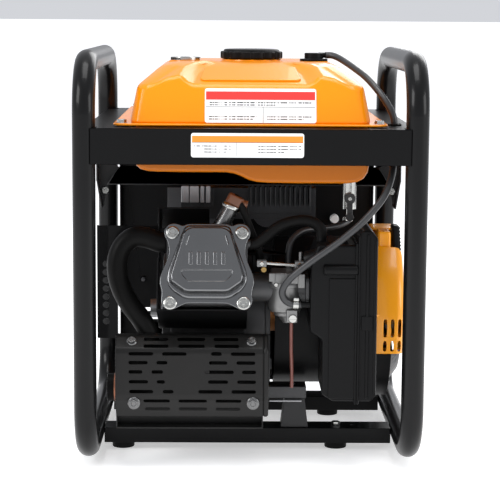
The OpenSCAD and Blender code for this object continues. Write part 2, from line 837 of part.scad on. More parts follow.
module cooling_fan() {
  color("#26282a") at_crank() {
    difference() {
      union() {
        bar_x(98.2, 101, blower_r - 9);
        bar_x(98.2, 126, 30);
        for (a = [0 : 22.5 : 337.5]) rotate([a, 0, 0]) box([100, -1.2, 29], [124, 1.2, blower_r - 10]);
        bar_x(126, 142, 35);
      }
      bar_x(98, 127, shaft_r + run_fit);
      bar_x(126, 143, 31);
    }
    difference() {
      bar_x(126.1, 136, 20);
      bar_x(126, 137, shaft_r + run_fit);
    }
  }
}

module alternator_stator() {
  color("#b06a35") at_crank() difference() {
    union() {
      bar_x(50, 88, 66);
      bar_x(cover_x, 51, 30);
    }
    bar_x(cover_x - 1, 90, shaft_r + 4);
    for (a = [0 : 20 : 340]) rotate([a, 0, 0]) box([49, -3.4, 44], [89, 3.4, 67]);
  }
}

module piston() {
  color("#b9bcc0") at_bore() {
    difference() {
      bar_z(wrist_z - 20, wrist_z + 30, bore_r - run_fit);
      bar_z(wrist_z - 21, wrist_z + 21, bore_r - 6);
      for (z = [22, 25.5]) difference() {
        bar_z(wrist_z + z, wrist_z + z + 1.5, bore_r + 1);
        bar_z(wrist_z + z - 1, wrist_z + z + 3, bore_r - 2);
      }
    }
    translate([0, 0, wrist_z]) bar_x(2 - bore_r, bore_r - 2, 7);
  }
}

module connecting_rod() {
  color("#9fa2a5") at_bore() {
    difference() {
      union() {
        translate([0, 0, wrist_z]) bar_x(-rod_half, rod_half, 11);
        translate([0, 0, pin_z]) bar_x(-rod_half, rod_half, 18);
        box([-5, -7, pin_z], [5, 7, wrist_z]);
      }
      translate([0, 0, wrist_z]) bar_x(-rod_half - 1, rod_half + 1, 7 + run_fit);
      translate([0, 0, pin_z]) bar_x(-rod_half - 1, rod_half + 1, 12);
    }
    translate([0, 0, pin_z]) bar_x(-rod_half - 0.5, rod_half + 0.5, 11.9);
  }
}

module spark_plug() {
  color("white") at_plug() {
    bar_z(-27, -14, 7);
    hex(-14, -4, 11);
    bar_z(-4, 8, 7);
    bar_z(8, 24, 5);
  }
}

module ignition_lead() {
  color("#2c2522") {
    at_plug() difference() {
      union() {
        bar_z(-3, 40, 9.5);
        bar_z(40, 56, 8);
      }
      bar_z(-4, 9, 7 + air_gap);
      bar_z(8, 26, 5 + air_gap);
    }
    sweep(lead_route, 3.8, 10, 4);
  }
}

module ignition_coil() {
  color("#1a1a1a") {
    box([4, -122, 240], [24, -98, 262]);
    translate([13, -116, 262]) bar_z(-1, 8.9, 6);
    box([7, -98, 242], [21, -92, 260]);
  }
}

module breather_hose() { color("#1c1c1c") sweep(breather_route, 7, 12, 4); }

module carburetor() {
  color("#b4b6b8") difference() {
    union() {
      translate([0, carb_at[1], carb_at[2]]) {
        bar_x(-2, 74.6, 18);
        box([-2, -30, -17], [3, 30, 17]);
        box([70, -26, -17], [74.6, 26, 17]);
      }
      translate([carb_at[0], carb_at[1], 0]) {
        bar_z(192, 212, 24);
        bar_z(186, 193, 16);
        bar_z(180.2, 187, 5);
        bar_z(211, 216, 20);
      }
      box([38, -172, 214], [60, -128, 246]);
      box([43, -132, 234], [57, -121, 246]);
      translate([60, carb_at[1], 0]) bar_z(240, 247, 7);
    }
    translate([0, carb_at[1], carb_at[2]]) bar_x(-3, 80, 11);
    translate([60, carb_at[1], 0]) bar_z(234, 250, 3 + run_fit);
  }
}

module choke_lever() {
  color("#1b1b1b") translate([60, carb_at[1], 0]) {
    bar_z(235.5, 251, 3);
    bar_z(247.1, 251, 7);
    box([-3.5, -36, 247.1], [3.5, 0, 250]);
    translate([0, -36, 0]) bar_z(247.1, 256, 4);
  }
}

module box_outline(inset) {
  polygon([[75 + inset, 284 - inset], [box_split + 1, 284 - inset], [box_split + 1, 88 + inset],
    [90 + inset, 88 + inset], [90 + inset, 173 + inset], [75 + inset, 173 + inset]]);
}

module air_box() {
  color("#1e1e20") {
    difference() {
      union() {
        intersection() {
          slab_y(box_y[0], box_y[1]) box_outline(0);
          box([0, -300, 0], [box_split, 300, 400]);
        }
        box([box_split - 3, box_y[0] - 3, 85], [box_split, box_y[1] + 1, 287]);
      }
      slab_y(box_y[0] + box_wall, box_y[1] - box_wall) box_outline(box_wall);
      translate([0, carb_at[1], carb_at[2]]) bar_x(70, 80, 11);
    }
    translate([90, -150, 0]) bar_z(283, 291, 6);
    translate([0, vapour_end[1], vapour_end[2]]) bar_x(vapour_end[0] + 1, 75.5, 3.5);
  }
}

module air_box_cover() {
  color("#1e1e20") difference() {
    union() {
      box([box_split, box_y[0], 88], [157, box_y[1], 284]);
      box([box_split, box_y[0] - 3, 85], [box_split + 3, box_y[1] + 1, 287]);
      box([145, box_y[0] - 2, 92], [149, box_y[0] + 1, 280]);
    }
    box([box_split - 1, box_y[0] + box_wall, 88 + box_wall],
      [157 - box_wall, box_y[1] - box_wall, 284 - box_wall]);
  }
}

module air_element() {
  color("#6b6f73") difference() {
    box([136, box_y[0] + 6, 98], [152, box_y[1] - 6, 276]);
    for (z = [106 : 10 : 266]) box([135, box_y[0] + 10, z], [148, box_y[1] - 10, z + 3]);
  }
}

module exhaust_pipe() {
  color("#232323") difference() {
    union() {
      sweep(exhaust_route, 13, 16, 3);
      translate([0, -146, 280]) bar_x(-107, -102.6, 16.5);
    }
    sweep(concat([[-98, -146, 280]], exhaust_route, [[-126, -150, 150]]), 11.4, 16, 3);
  }
}

module muffler_outline(inset) {
  mid = [(muffler_y[0] + muffler_y[1]) / 2, (muffler_z[0] + muffler_z[1]) / 2];
  translate(mid) round_rect(muffler_y[1] - muffler_y[0] - 2 * inset,
    muffler_z[1] - muffler_z[0] - 2 * inset, 18 - inset);
}

module muffler() {
  color("#2a2826") difference() {
    union() {
      slab_x(muffler_x[0], muffler_x[1]) muffler_outline(0);
      translate([0, outlet_at[0], outlet_at[1]]) bar_x(muffler_x[0] - 24, muffler_x[0] + 1, outlet_r + 2.5);
      box([muffler_x[0] + 6, -140, 50], [muffler_x[1] - 6, -137, muffler_z[0] + 1]);
      box([muffler_x[0] + 6, -140, 50], [muffler_x[1] - 6, -112, 52.5]);
      for (x = [-144, 5]) translate([x, 0, 86]) bar_y(muffler_y[0] - 20, muffler_y[0] + 10, 4);
    }
    slab_x(muffler_x[0] + 2, muffler_x[1] - 2) muffler_outline(2);
    translate([0, outlet_at[0], outlet_at[1]]) bar_x(muffler_x[0] - 25, muffler_x[0] + 3, outlet_r);
    translate([-126, -150, 0]) bar_z(muffler_z[1] - 5, muffler_z[1] + 1, 12);
  }
}

// Slot centres of one row: a middle group of four, or an outer row of three
module slot_row(z, xs, len) { for (x = xs) translate([x, z]) slot2d(len, 5.2); }

module shield_slots() {
  for (z = [163, 157.5]) slot_row(z, [-121, -73, -28], 34);
  for (z = [146, 117.5, 105.5]) slot_row(z, [-134, -92, -44, -10], 26);
  for (z = [135, 126]) slot_row(z, [-134, -101, -34, -6], 20);
  for (z = [93, 78, 71]) slot_row(z, [-121, -73, -28], 34);
}

module heat_shield() {
  back = [for (i = [len(shield_line) - 1 : -1 : 0]) shield_line[i] + [1.8, i == 0 ? -1.8 : i == 4 ? 1 : 0]];
  color("#1f1f20") difference() {
    union() {
      slab_x(shield_x[0], shield_x[1]) polygon(concat(shield_line, back));
      for (x = [shield_x[0], shield_x[1] - 1.5])
        slab_x(x, x + 1.5) polygon(concat(shield_line, [[-176, 50], [-150, 50], [-171, 72], [-171, 160]]));
      box([shield_x[0], -176, 50], [shield_x[1], -150, 51.5]);
    }
    slab_y(-200, -160) shield_slots();
    for (x = [-144, 5]) translate([x, 0, 86]) bar_y(-200, -170, 4 + loose_fit);
  }
}

module exhaust_guard() {
  color("#1a1a1b") difference() {
    union() {
      box([-194, -101.5, 150], [-168, -100, 296]);
      box([-169, -101.5, 280], [bore_x - 62, -100, 296]);
      box([-194, -101.5, 150], [-192.5, -92, 296]);
    }
    for (i = [0 : 7]) translate([-183, 0, 172 + 10.6 * i]) bar_y(-105, -99, 4);
  }
}

module engine_mounts() {
  color("#202020") at_mounts() difference() {
    slab_y(-15, 15) polygon([[-18, mount_z[0]], [18, mount_z[0]], [13, mount_z[1]], [-13, mount_z[1]]]);
    bar_z(mount_z[0] - 1, mount_z[1] + 1, 4 + loose_fit);
  }
}

module oil_cap() {
  color("#e0a800") translate([6, 0, 112]) {
    bar_y(-72.1, -60, 9);
    bar_y(-61, -38, 1.6);
    difference() {
      bar_y(-84, -72.1, 13);
      for (a = [0 : 30 : 330]) rotate([0, a, 0]) translate([14.5, 0, 0]) bar_y(-85, -74, 3, $fn = 16);
    }
  }
}

// ---- Control panel on the rear side ----

module control_panel() {
  y1 = panel_y;
  color("#1c1c1e") difference() {
    box([-panel_half, y1 - 21, panel_z[0]], [panel_half, y1, panel_z[1]]);
    box([2.5 - panel_half, y1 - 22, panel_z[0] + 2.5], [panel_half - 2.5, y1 - 2.5, panel_z[1] - 2.5]);
    for (x = [-95, -40]) box([x - 20, y1 - 5, 244], [x + 20, y1 + 1, 316]);
    translate([round_at[0], 0, round_at[1]]) bar_y(y1 - 5, y1 + 1, 22);
    for (x = switch_x) box([x - 9.4, y1 - 5, switch_z - 13], [x + 9.4, y1 + 1, switch_z + 13]);
    translate([breaker_at[0], 0, breaker_at[1]]) bar_y(y1 - 5, y1 + 1, 6 + loose_fit);
    for (z = [60 : 12 : 132]) box([-150, y1 - 5, z], [-20, y1 + 1, z + 5]);
    translate([-150, 0, 180]) bar_y(y1 - 5, y1 + 1, 3 + loose_fit);
  }
}

module duplex_socket() {
  y1 = panel_y;
  difference() {
    union() {
      box([-19.5, y1 - 16, -35.5], [19.5, y1 + 1, 35.5]);
      box([-22, y1, -38], [22, y1 + 4, 38]);
    }
    for (z = [-19, 19]) {
      for (x = [-6.5, 6.5]) box([x - 1, y1 - 9, z - 3], [x + 1, y1 + 5, z + 6]);
      translate([0, 0, z - 9]) bar_y(y1 - 9, y1 + 5, 2.4);
    }
  }
}

module panel_sockets() {
  y1 = panel_y;
  color("#303032") {
    for (x = [-95, -40]) translate([x, 0, round_at[1]]) duplex_socket();
    translate([round_at[0], 0, round_at[1]]) {
      difference() {
        union() {
          bar_y(y1 - 18, y1 + 1, 21.5);
          bar_y(y1, y1 + 4, 25);
          for (x = [-11, 6]) box([x, y1, 20], [x + 5, y1 + 9, 31]);
        }
        bar_y(y1 - 8, y1 + 5, 16);
      }
      for (x = [-7, 7]) box([x - 1, y1 - 9, -4], [x + 1, y1 - 1, 4]);
      translate([0, y1 + 6.5, 28]) bar_x(-9, 9, 1.5);
    }
  }
  // Ground stud
  color("#c8a24a") translate([-150, 0, 180]) {
    bar_y(y1 - 12, y1 + 14, 3);
    translate([0, y1, 0]) rotate([-90, 0, 0]) hex(0, 4, 6);
  }
}

module socket_flap() {
  y1 = panel_y;
  color("#242426") translate([round_at[0], 0, round_at[1]]) difference() {
    union() {
      bar_y(y1 + 4.2, y1 + 7, 19.5);
      translate([0, y1 + 6.5, 28]) bar_x(-5.5, 5.5, 2.2);
      box([-5.5, y1 + 4.4, 18], [5.5, y1 + 7, 26.5]);
    }
    translate([0, y1 + 6.5, 28]) bar_x(-7, 7, 1.5 + run_fit);
  }
}

module rocker(x) {
  translate([x, panel_y - 6, switch_z]) {
    bar_x(-9, 9, 12);
    box([-9, 10.5, 3], [9, 13.5, 6]);
  }
}

module engine_switch() { color("#c0392b") rocker(switch_x[0]); }
module eco_switch() { color("#2e2e30") rocker(switch_x[1]); }

module breaker_button() {
  color("#d8d8d8") translate([breaker_at[0], 0, breaker_at[1]]) {
    bar_y(panel_y - 12, panel_y + 7, 6);
  }
}

left_hoop();
right_hoop();
cross_panels();
side_rails();
cross_beam();
inverter_module();
base_rails();
rubber_feet();
frame_bolts();
label_plates();
tank_upper();
tank_lower();
filler_neck();
fuel_cap();
cap_gasket();
fuel_gauge();
gauge_needle();
rollover_valve();
hose_grommet();
vapour_hose();
fuel_valve();
fuel_valve_lever();
fuel_hoses();
crankcase();
crankcase_cover();
cylinder_barrel();
cylinder_head();
valve_cover();
engine_bolts();
engine_shroud();
recoil_cover();
starter_handle();
recoil_pulley();
crankshaft();
flywheel_rotor();
cooling_fan();
alternator_stator();
piston();
connecting_rod();
spark_plug();
ignition_lead();
ignition_coil();
breather_hose();
carburetor();
choke_lever();
air_box();
air_box_cover();
air_element();
exhaust_pipe();
muffler();
heat_shield();
exhaust_guard();
engine_mounts();
oil_cap();
control_panel();
panel_sockets();
socket_flap();
engine_switch();
eco_switch();
breaker_button();
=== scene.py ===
import json
import math

import bmesh
import bpy
from mathutils import Matrix, Vector


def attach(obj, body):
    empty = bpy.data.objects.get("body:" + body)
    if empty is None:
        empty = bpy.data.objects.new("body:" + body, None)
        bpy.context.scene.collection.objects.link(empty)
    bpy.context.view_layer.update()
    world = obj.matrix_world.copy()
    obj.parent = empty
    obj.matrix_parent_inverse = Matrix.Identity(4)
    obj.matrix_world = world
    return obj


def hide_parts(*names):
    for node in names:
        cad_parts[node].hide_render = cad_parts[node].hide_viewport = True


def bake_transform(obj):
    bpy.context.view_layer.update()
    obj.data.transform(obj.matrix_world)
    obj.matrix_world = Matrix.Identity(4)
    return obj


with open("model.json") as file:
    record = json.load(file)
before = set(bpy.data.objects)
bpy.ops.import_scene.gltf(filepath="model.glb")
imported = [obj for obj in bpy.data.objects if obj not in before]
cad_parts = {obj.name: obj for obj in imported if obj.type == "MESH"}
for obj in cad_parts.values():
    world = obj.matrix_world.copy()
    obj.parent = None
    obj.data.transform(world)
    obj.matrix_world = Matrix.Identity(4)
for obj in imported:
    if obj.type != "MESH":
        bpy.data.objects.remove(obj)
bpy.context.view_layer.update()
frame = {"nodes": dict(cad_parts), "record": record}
record = frame["record"]
bodyOf = {node: body for body, nodes in record["behaviour"]["bodies"].items() for node in nodes}
slotOf = {part["node"]: part["material_slot"] for part in record["subparts"]}
mm = 0.001
mergeDistance = 0.00001
print("frame loaded:", len(frame["nodes"]), "nodes")

# ---- camera, floor and light ----

cameraPlace = {
    "spot": (-0.02755, -2.2588, 0.5645),
    # turns in radians
    "yaw": 0.0134, "pitch": 0.1378, "roll": 0.0068,
    "lens": 122.69,
    "farClip": 300,
}
studio = {
    "world": (0.93, 0.95, 1.0),
    "worldStrength": 0.7,
    "floor": (0.93, 0.93, 0.93),
    "floorSize": 160,
    "floorAt": (0, 60, 0),
    # name: spot, aim, size, power
    "lamps": {
        "keyLamp": ((-2.3, -1.5, 1.7), (0, 0, 0.3), 1.3, 40),
        "fillLamp": ((2.5, -1.2, 1.1), (0, 0, 0.3), 1.2, 24),
        "topLamp": ((0.0, -0.3, 2.6), (0, 0, 0.4), 1.5, 36),
        "rearLamp": ((0.9, 2.2, 1.6), (0, 0, 0.3), 1.4, 22),
    },
}


def addCamera():
    turn = (
        Matrix.Rotation(-cameraPlace["yaw"], 3, "Z")
        @ Matrix.Rotation(math.pi / 2 - cameraPlace["pitch"], 3, "X")
        @ Matrix.Rotation(cameraPlace["roll"], 3, "Z")
    )
    bpy.ops.object.camera_add(location=cameraPlace["spot"], rotation=turn.to_euler())
    camera = bpy.context.object
    camera.data.sensor_width = 36
    camera.data.lens = cameraPlace["lens"]
    camera.data.clip_end = cameraPlace["farClip"]
    bpy.context.scene.camera = camera


def addLamps():
    for name, (spot, aim, size, power) in studio["lamps"].items():
        turn = (Vector(spot) - Vector(aim)).to_track_quat("Z", "Y").to_euler()
        bpy.ops.object.light_add(type="AREA", location=spot, rotation=turn)
        lamp = bpy.context.object
        lamp.name = name
        lamp.data.size = size
        lamp.data.energy = power


# ---- meshes, in millimetres ----


def lone(piece=None):
    if bpy.context.object and bpy.context.object.mode != "OBJECT":
        bpy.ops.object.mode_set(mode="OBJECT")
    bpy.ops.object.select_all(action="DESELECT")
    if piece:
        piece.select_set(True)
        bpy.context.view_layer.objects.active = piece


def edit(piece, kind="FACE", every=False):
    lone(piece)
    bpy.ops.object.mode_set(mode="EDIT")
    bpy.ops.mesh.select_mode(type=kind)
    bpy.ops.mesh.select_all(action="SELECT" if every else "DESELECT")


def done(piece, normals=True):
    if piece.mode != "EDIT":
        edit(piece)
    bpy.ops.mesh.select_all(action="SELECT")
    bpy.ops.mesh.remove_doubles(threshold=mergeDistance)
    if normals:
        bpy.ops.mesh.normals_make_consistent(inside=False)
    lone(piece)
    return piece


def pickEdges(piece, test):
    edit(piece, "EDGE")
    mesh = bmesh.from_edit_mesh(piece.data)
    for edge in mesh.edges:
        a, b = (vert.co / mm for vert in edge.verts)
        edge.select_set(test((a + b) / 2, (b - a).normalized()))
    bmesh.update_edit_mesh(piece.data)


def modify(piece, kind, **settings):
    lone(piece)
    bpy.ops.object.modifier_add(type=kind)
    modifier = piece.modifiers[-1]
    for key, value in settings.items():
        setattr(modifier, key, value)
    bpy.ops.object.modifier_apply(modifier=modifier.name)
    return piece


def bevel(piece, width, segments=2, angle=30):
    return modify(
        piece, "BEVEL", width=width * mm, segments=segments, limit_method="ANGLE",
        angle_limit=math.radians(angle), use_clamp_overlap=False, miter_outer="MITER_ARC",
    )


def smooth(piece, angle=32):
    lone(piece)
    bpy.ops.object.shade_smooth_by_angle(angle=math.radians(angle))
    return piece


def block(low, high, bevelWidth=0, segments=2):
    low, high = Vector(low) * mm, Vector(high) * mm
    lone()
    bpy.ops.mesh.primitive_cube_add(size=1, location=(low + high) / 2, scale=high - low)
    piece = bpy.context.object
    bpy.ops.object.transform_apply(location=True, rotation=True, scale=True)
    return bevel(piece, bevelWidth, segments) if bevelWidth else piece


def rod(a, b, radius, sides=32, tip=None, bevelWidth=0, segments=2):
    a, b = Vector(a) * mm, Vector(b) * mm
    turn = (b - a).to_track_quat("Z", "Y").to_euler()
    lone()
    bpy.ops.mesh.primitive_cone_add(
        vertices=sides, radius1=radius * mm, radius2=(radius if tip is None else tip) * mm,
        depth=(b - a).length, location=(a + b) / 2, rotation=turn,
    )
    piece = bpy.context.object
    bpy.ops.object.transform_apply(location=True, rotation=True, scale=True)
    return bevel(piece, bevelWidth, segments) if bevelWidth else piece


def trace(points, close=True):
    points = [Vector(p) * mm for p in points]
    lone()
    bpy.ops.mesh.primitive_plane_add(size=0.001, location=points[0])
    piece = bpy.context.object
    bpy.ops.object.transform_apply(location=True, rotation=True, scale=True)
    edit(piece, "VERT", every=True)
    bpy.ops.mesh.merge(type="CENTER")
    for a, b in zip(points, points[1:]):
        bpy.ops.mesh.extrude_region_move(TRANSFORM_OT_translate={"value": b - a})
    if close:
        mesh = bmesh.from_edit_mesh(piece.data)
        for vert in mesh.verts:
            vert.select_set(len(vert.link_edges) == 1)
        mesh.select_flush_mode()
        bmesh.update_edit_mesh(piece.data)
        bpy.ops.mesh.edge_face_add()
        bpy.ops.mesh.select_all(action="SELECT")
        bpy.ops.mesh.edge_face_add()
    return piece


def slab(points, along, bevelWidth=0, segments=2, angle=30):
    piece = trace(points)
    bpy.ops.mesh.extrude_region_move(TRANSFORM_OT_translate={"value": Vector(along) * mm})
    done(piece)
    return bevel(piece, bevelWidth, segments, angle) if bevelWidth else piece


def lathe(points, centre=(0, 0, 0), axis="Z", steps=48):
    # points are (radius, height) pairs, turned round the axis through the centre
    spot = {"X": lambda r, h: (h, 0, r), "Y": lambda r, h: (r, h, 0), "Z": lambda r, h: (r, 0, h)}[axis]
    centre = Vector(centre)
    piece = trace([centre + Vector(spot(max(r, 0.001), h)) for r, h in points], close=False)
    bpy.ops.mesh.select_all(action="SELECT")
    bpy.ops.mesh.spin(
        steps=steps, angle=2 * math.pi, center=centre * mm,
        axis=[1 if axis == letter else 0 for letter in "XYZ"],
    )
    return done(piece)


def joined(pieces):
    lone(pieces[0])
    for piece in pieces[1:]:
        piece.select_set(True)
    bpy.ops.object.join()
    return pieces[0]


def cut(piece, cutters):
    cutter = joined(cutters)
    modify(
        piece, "BOOLEAN", operation="DIFFERENCE", object=cutter, solver="EXACT", use_self=len(cutters) > 1,
    )
    bpy.data.objects.remove(cutter)
    return piece


def roundRect(width, length, radius, steps=6):
    corners = [(1, 1, 0), (-1, 1, 90), (-1, -1, 180), (1, -1, 270)]
    points = []
    for sx, sy, start in corners:
        for i in range(steps + 1):
            a = math.radians(start + 90 * i / steps)
            points.append((
                sx * (width / 2 - radius) + radius * math.cos(a),
                sy * (length / 2 - radius) + radius * math.sin(a),
            ))
    return points


def smoothRoute(route, steps=6):
    points = [Vector(p) for p in route]
    line = []
    for i in range(len(points) - 1):
        a, b, c, d = (points[min(max(i + k, 0), len(points) - 1)] for k in (-1, 0, 1, 2))
        for j in range(steps):
            t = j / steps
            line.append(0.5 * (2 * b + (c - a) * t + (2 * a - 5 * b + 4 * c - d) * t * t
                               + (3 * b - a - 3 * c + d) * t ** 3))
    return line + [points[-1]]


def tube(route, radius, steps=6, sides=4):
    lone()
    bpy.ops.curve.primitive_bezier_curve_add(location=(0, 0, 0))
    piece = bpy.context.object
    piece.data.splines.clear()
    line = smoothRoute(route, steps)
    spline = piece.data.splines.new("POLY")
    spline.points.add(len(line) - 1)
    for point, at in zip(spline.points, line):
        point.co = (*(at * mm), 1)
    piece.data.bevel_depth = radius * mm
    piece.data.bevel_resolution = sides
    piece.data.use_fill_caps = True
    bpy.ops.object.convert(target="MESH")
    return done(bpy.context.object)


def facing(along):
    return Vector(along).to_track_quat("Z", "Y").to_matrix().to_4x4()


def place(piece, turn, shift):
    lone(piece)
    piece.matrix_world = Matrix.Translation(Vector(shift) * mm) @ turn
    bpy.ops.object.transform_apply(location=True, rotation=True, scale=True)
    return piece


def finishPiece(piece, name, material, body="frame", nodes=(), angle=32):
    smooth(piece, angle)
    modify(piece, "WEIGHTED_NORMAL", keep_sharp=True, weight=90)
    piece.name = name
    piece.data.materials.clear()
    piece.data.materials.append(material)
    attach(piece, body)
    if nodes:
        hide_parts(*nodes)


def slotPiece(piece, name, slot, nodes=(), angle=32, body="frame"):
    finishPiece(piece, name, finishes[slot], body, nodes, angle)


def nodeCopy(node):
    source = frame["nodes"][node]
    piece = source.copy()
    piece.data = source.data.copy()
    piece.parent = None
    piece.matrix_world = Matrix.Identity(4)
    for key in list(piece.keys()):
        del piece[key]
    bpy.context.scene.collection.objects.link(piece)
    edit(piece, every=True)
    bpy.ops.mesh.remove_doubles(threshold=mergeDistance)
    bpy.ops.mesh.dissolve_limited(angle_limit=math.radians(0.6))
    lone(piece)
    return piece


# ---- materials ----


class Wire:
    def __init__(self, sheet, out):
        self.sheet = sheet
        self.out = out

    def maths(self, operation, a, b):
        return self.sheet.add("ShaderNodeMath", {"operation": operation}, {0: a, 1: b})

    def __add__(self, other):
        return self.maths("ADD", self, other)

    def __sub__(self, other):
        return self.maths("SUBTRACT", self, other)

    def __rsub__(self, other):
        return self.maths("SUBTRACT", other, self)

    def __mul__(self, other):
        return self.maths("MULTIPLY", self, other)

    def __pow__(self, other):
        return self.maths("POWER", self, other)

    def __gt__(self, other):
        return self.maths("GREATER_THAN", self, other)

    def __lt__(self, other):
        return self.maths("LESS_THAN", self, other)

    __radd__ = __add__
    __rmul__ = __mul__


class Sheet:
    def __init__(self, name):
        self.material = bpy.data.materials.new(name)
        self.material.use_nodes = True
        self.tree = self.material.node_tree
        self.shader = self.tree.nodes["Principled BSDF"]
        self.place = self.add("ShaderNodeTexCoord", {}, {}, "Object")

    def add(self, kind, settings, values, out=0):
        node = self.tree.nodes.new(kind)
        for key, value in settings.items():
            if key == "stops":
                ramp = node.color_ramp
                for i, (at, colour) in enumerate(value):
                    stop = ramp.elements[i] if i < 2 else ramp.elements.new(at)
                    stop.position = at
                    stop.color = (*colour, 1)
            else:
                setattr(node, key, value)
        for key, value in values.items():
            self.feed(node.inputs[key], value)
        return Wire(self, node.outputs[out])

    def feed(self, socket, value):
        if isinstance(value, Wire):
            self.tree.links.new(value.out, socket)
        elif hasattr(value, "__len__") and socket.type == "RGBA":
            socket.default_value = (*value, 1)
        else:
            socket.default_value = value

    def stretched(self, scale):
        return self.add("ShaderNodeMapping", {}, {"Vector": self.place, "Scale": scale})

    def noise(self, scale, detail=3.0, roughness=0.5, at=None):
        values = {"Vector": at or self.place, "Scale": scale, "Detail": detail, "Roughness": roughness}
        return self.add("ShaderNodeTexNoise", {}, values)

    def cells(self, scale):
        return self.add("ShaderNodeTexVoronoi", {}, {"Vector": self.place, "Scale": scale})

    def axes(self):
        return [self.add("ShaderNodeSeparateXYZ", {}, {0: self.place}, axis) for axis in "XYZ"]

    def mix(self, factor, a, b):
        return self.add("ShaderNodeMix", {"data_type": "RGBA"}, {0: factor, 6: a, 7: b}, 2)

    def between(self, value, low, high):
        return (value > low) * (value < high)

    def bump(self, height, strength, distance):
        return self.add("ShaderNodeBump", {}, {"Height": height, "Strength": strength, "Distance": distance})

    def finish(self, **sockets):
        for key, value in sockets.items():
            self.feed(self.shader.inputs[key.replace("_", " ")], value)
        return self.material


def finishOf(name, colour, shade, rough, metal=0.0, blotch=22, grain=(900, 0.06), coat=0.0, spread=0.08,
             brush=None, specular=0.5, glow=0.0):
    # a plain finish: two close shades in blotches, uneven gloss, and a grain in the bump
    sheet = Sheet(name)
    patches = sheet.noise(blotch, 4.0, 0.6)
    fine = sheet.noise(grain[0], 3.0, 0.55, sheet.stretched(brush) if brush else None)
    smears = sheet.noise(blotch * 3.7, 5.0, 0.65)
    tone = sheet.mix(patches * 0.6 + fine * 0.4, colour, shade)
    gloss = smears * spread + patches * (spread * 0.6) + (rough - spread * 0.8)
    return sheet.finish(
        Base_Color=tone, Roughness=gloss, Metallic=metal, Coat_Weight=coat, Specular_IOR_Level=specular,
        Emission_Color=tone, Emission_Strength=glow, Normal=sheet.bump(fine, grain[1], 0.0006),
    )


def castFinish():
    sheet = Sheet("castAluminium")
    sand = sheet.noise(1100, 4.0, 0.6)
    lumps = sheet.cells(420)
    stain = sheet.noise(35, 5.0, 0.65)
    tone = sheet.mix(stain, (0.36, 0.365, 0.37), (0.62, 0.625, 0.63))
    height = sand * 0.6 + lumps * 0.5
    return sheet.finish(
        Base_Color=tone, Roughness=sand * 0.14 + stain * 0.16 + 0.3, Metallic=0.85,
        Normal=sheet.bump(height, 0.35, 0.0008),
    )


label = {
    "split": 0.4305,
    "ink": (0.012, 0.012, 0.012),
    "print": (0.02, 0.02, 0.02),
    # colour, X range, Z range, in metres
    "bands": [
        ((0.72, 0.035, 0.03), (-0.0545, 0.0785), (0.4605, 0.4705)),
        ("ink", (-0.0545, 0.0785), (0.4518, 0.4524)), ("ink", (0.0148, 0.0154), (0.4335, 0.452)),
        ((0.85, 0.26, 0.02), (-0.0705, 0.0625), (0.4120, 0.4196)),
        ("ink", (-0.0180, -0.0174), (0.3955, 0.4110)), ("ink", (-0.0705, 0.0625), (0.4114, 0.4120)),
    ],
    # broken bars stand for the lines of print: X range, Z range
    "bars": [
        ((-0.0500, 0.0740), (0.4566, 0.4580)), ((-0.0500, 0.0300), (0.4538, 0.4551)),
        ((-0.0515, 0.0085), (0.4400, 0.4412)), ((-0.0515, 0.0025), (0.4370, 0.4382)),
        ((0.0200, 0.0740), (0.4400, 0.4412)), ((0.0200, 0.0640), (0.4370, 0.4382)),
        ((-0.0680, -0.0230), (0.4068, 0.4080)), ((-0.0560, -0.0230), (0.4032, 0.4044)),
        ((-0.0560, -0.0300), (0.3996, 0.4008)), ((0.0080, 0.0600), (0.4068, 0.4080)),
        ((0.0080, 0.0600), (0.4032, 0.4044)), ((0.0080, 0.0400), (0.3996, 0.4008)),
    ],
}


def labelFinish():
    sheet = Sheet("printedLabel")
    x, y, z = sheet.axes()
    onTank = z > label["split"]
    fibre = sheet.noise(1500, 2.0)
    tone = sheet.mix(fibre * 0.3, (0.86, 0.86, 0.86), (0.78, 0.78, 0.77))
    gaps = sheet.noise(1.0, 2.0, 0.5, sheet.stretched((900, 1, 1))) > 0.44
    for colour, acrossX, acrossZ in label["bands"] + [("print", *bar) for bar in label["bars"]]:
        inside = sheet.between(x, *acrossX) * sheet.between(z, *acrossZ)
        if colour == "print":
            inside = inside * gaps
        tone = sheet.mix(inside, tone, label.get(colour, colour))
    rough = fibre * 0.1 + 0.3 + onTank * 0.02
    return sheet.finish(Base_Color=tone, Roughness=rough, Normal=sheet.bump(fibre, 0.03, 0.0003))


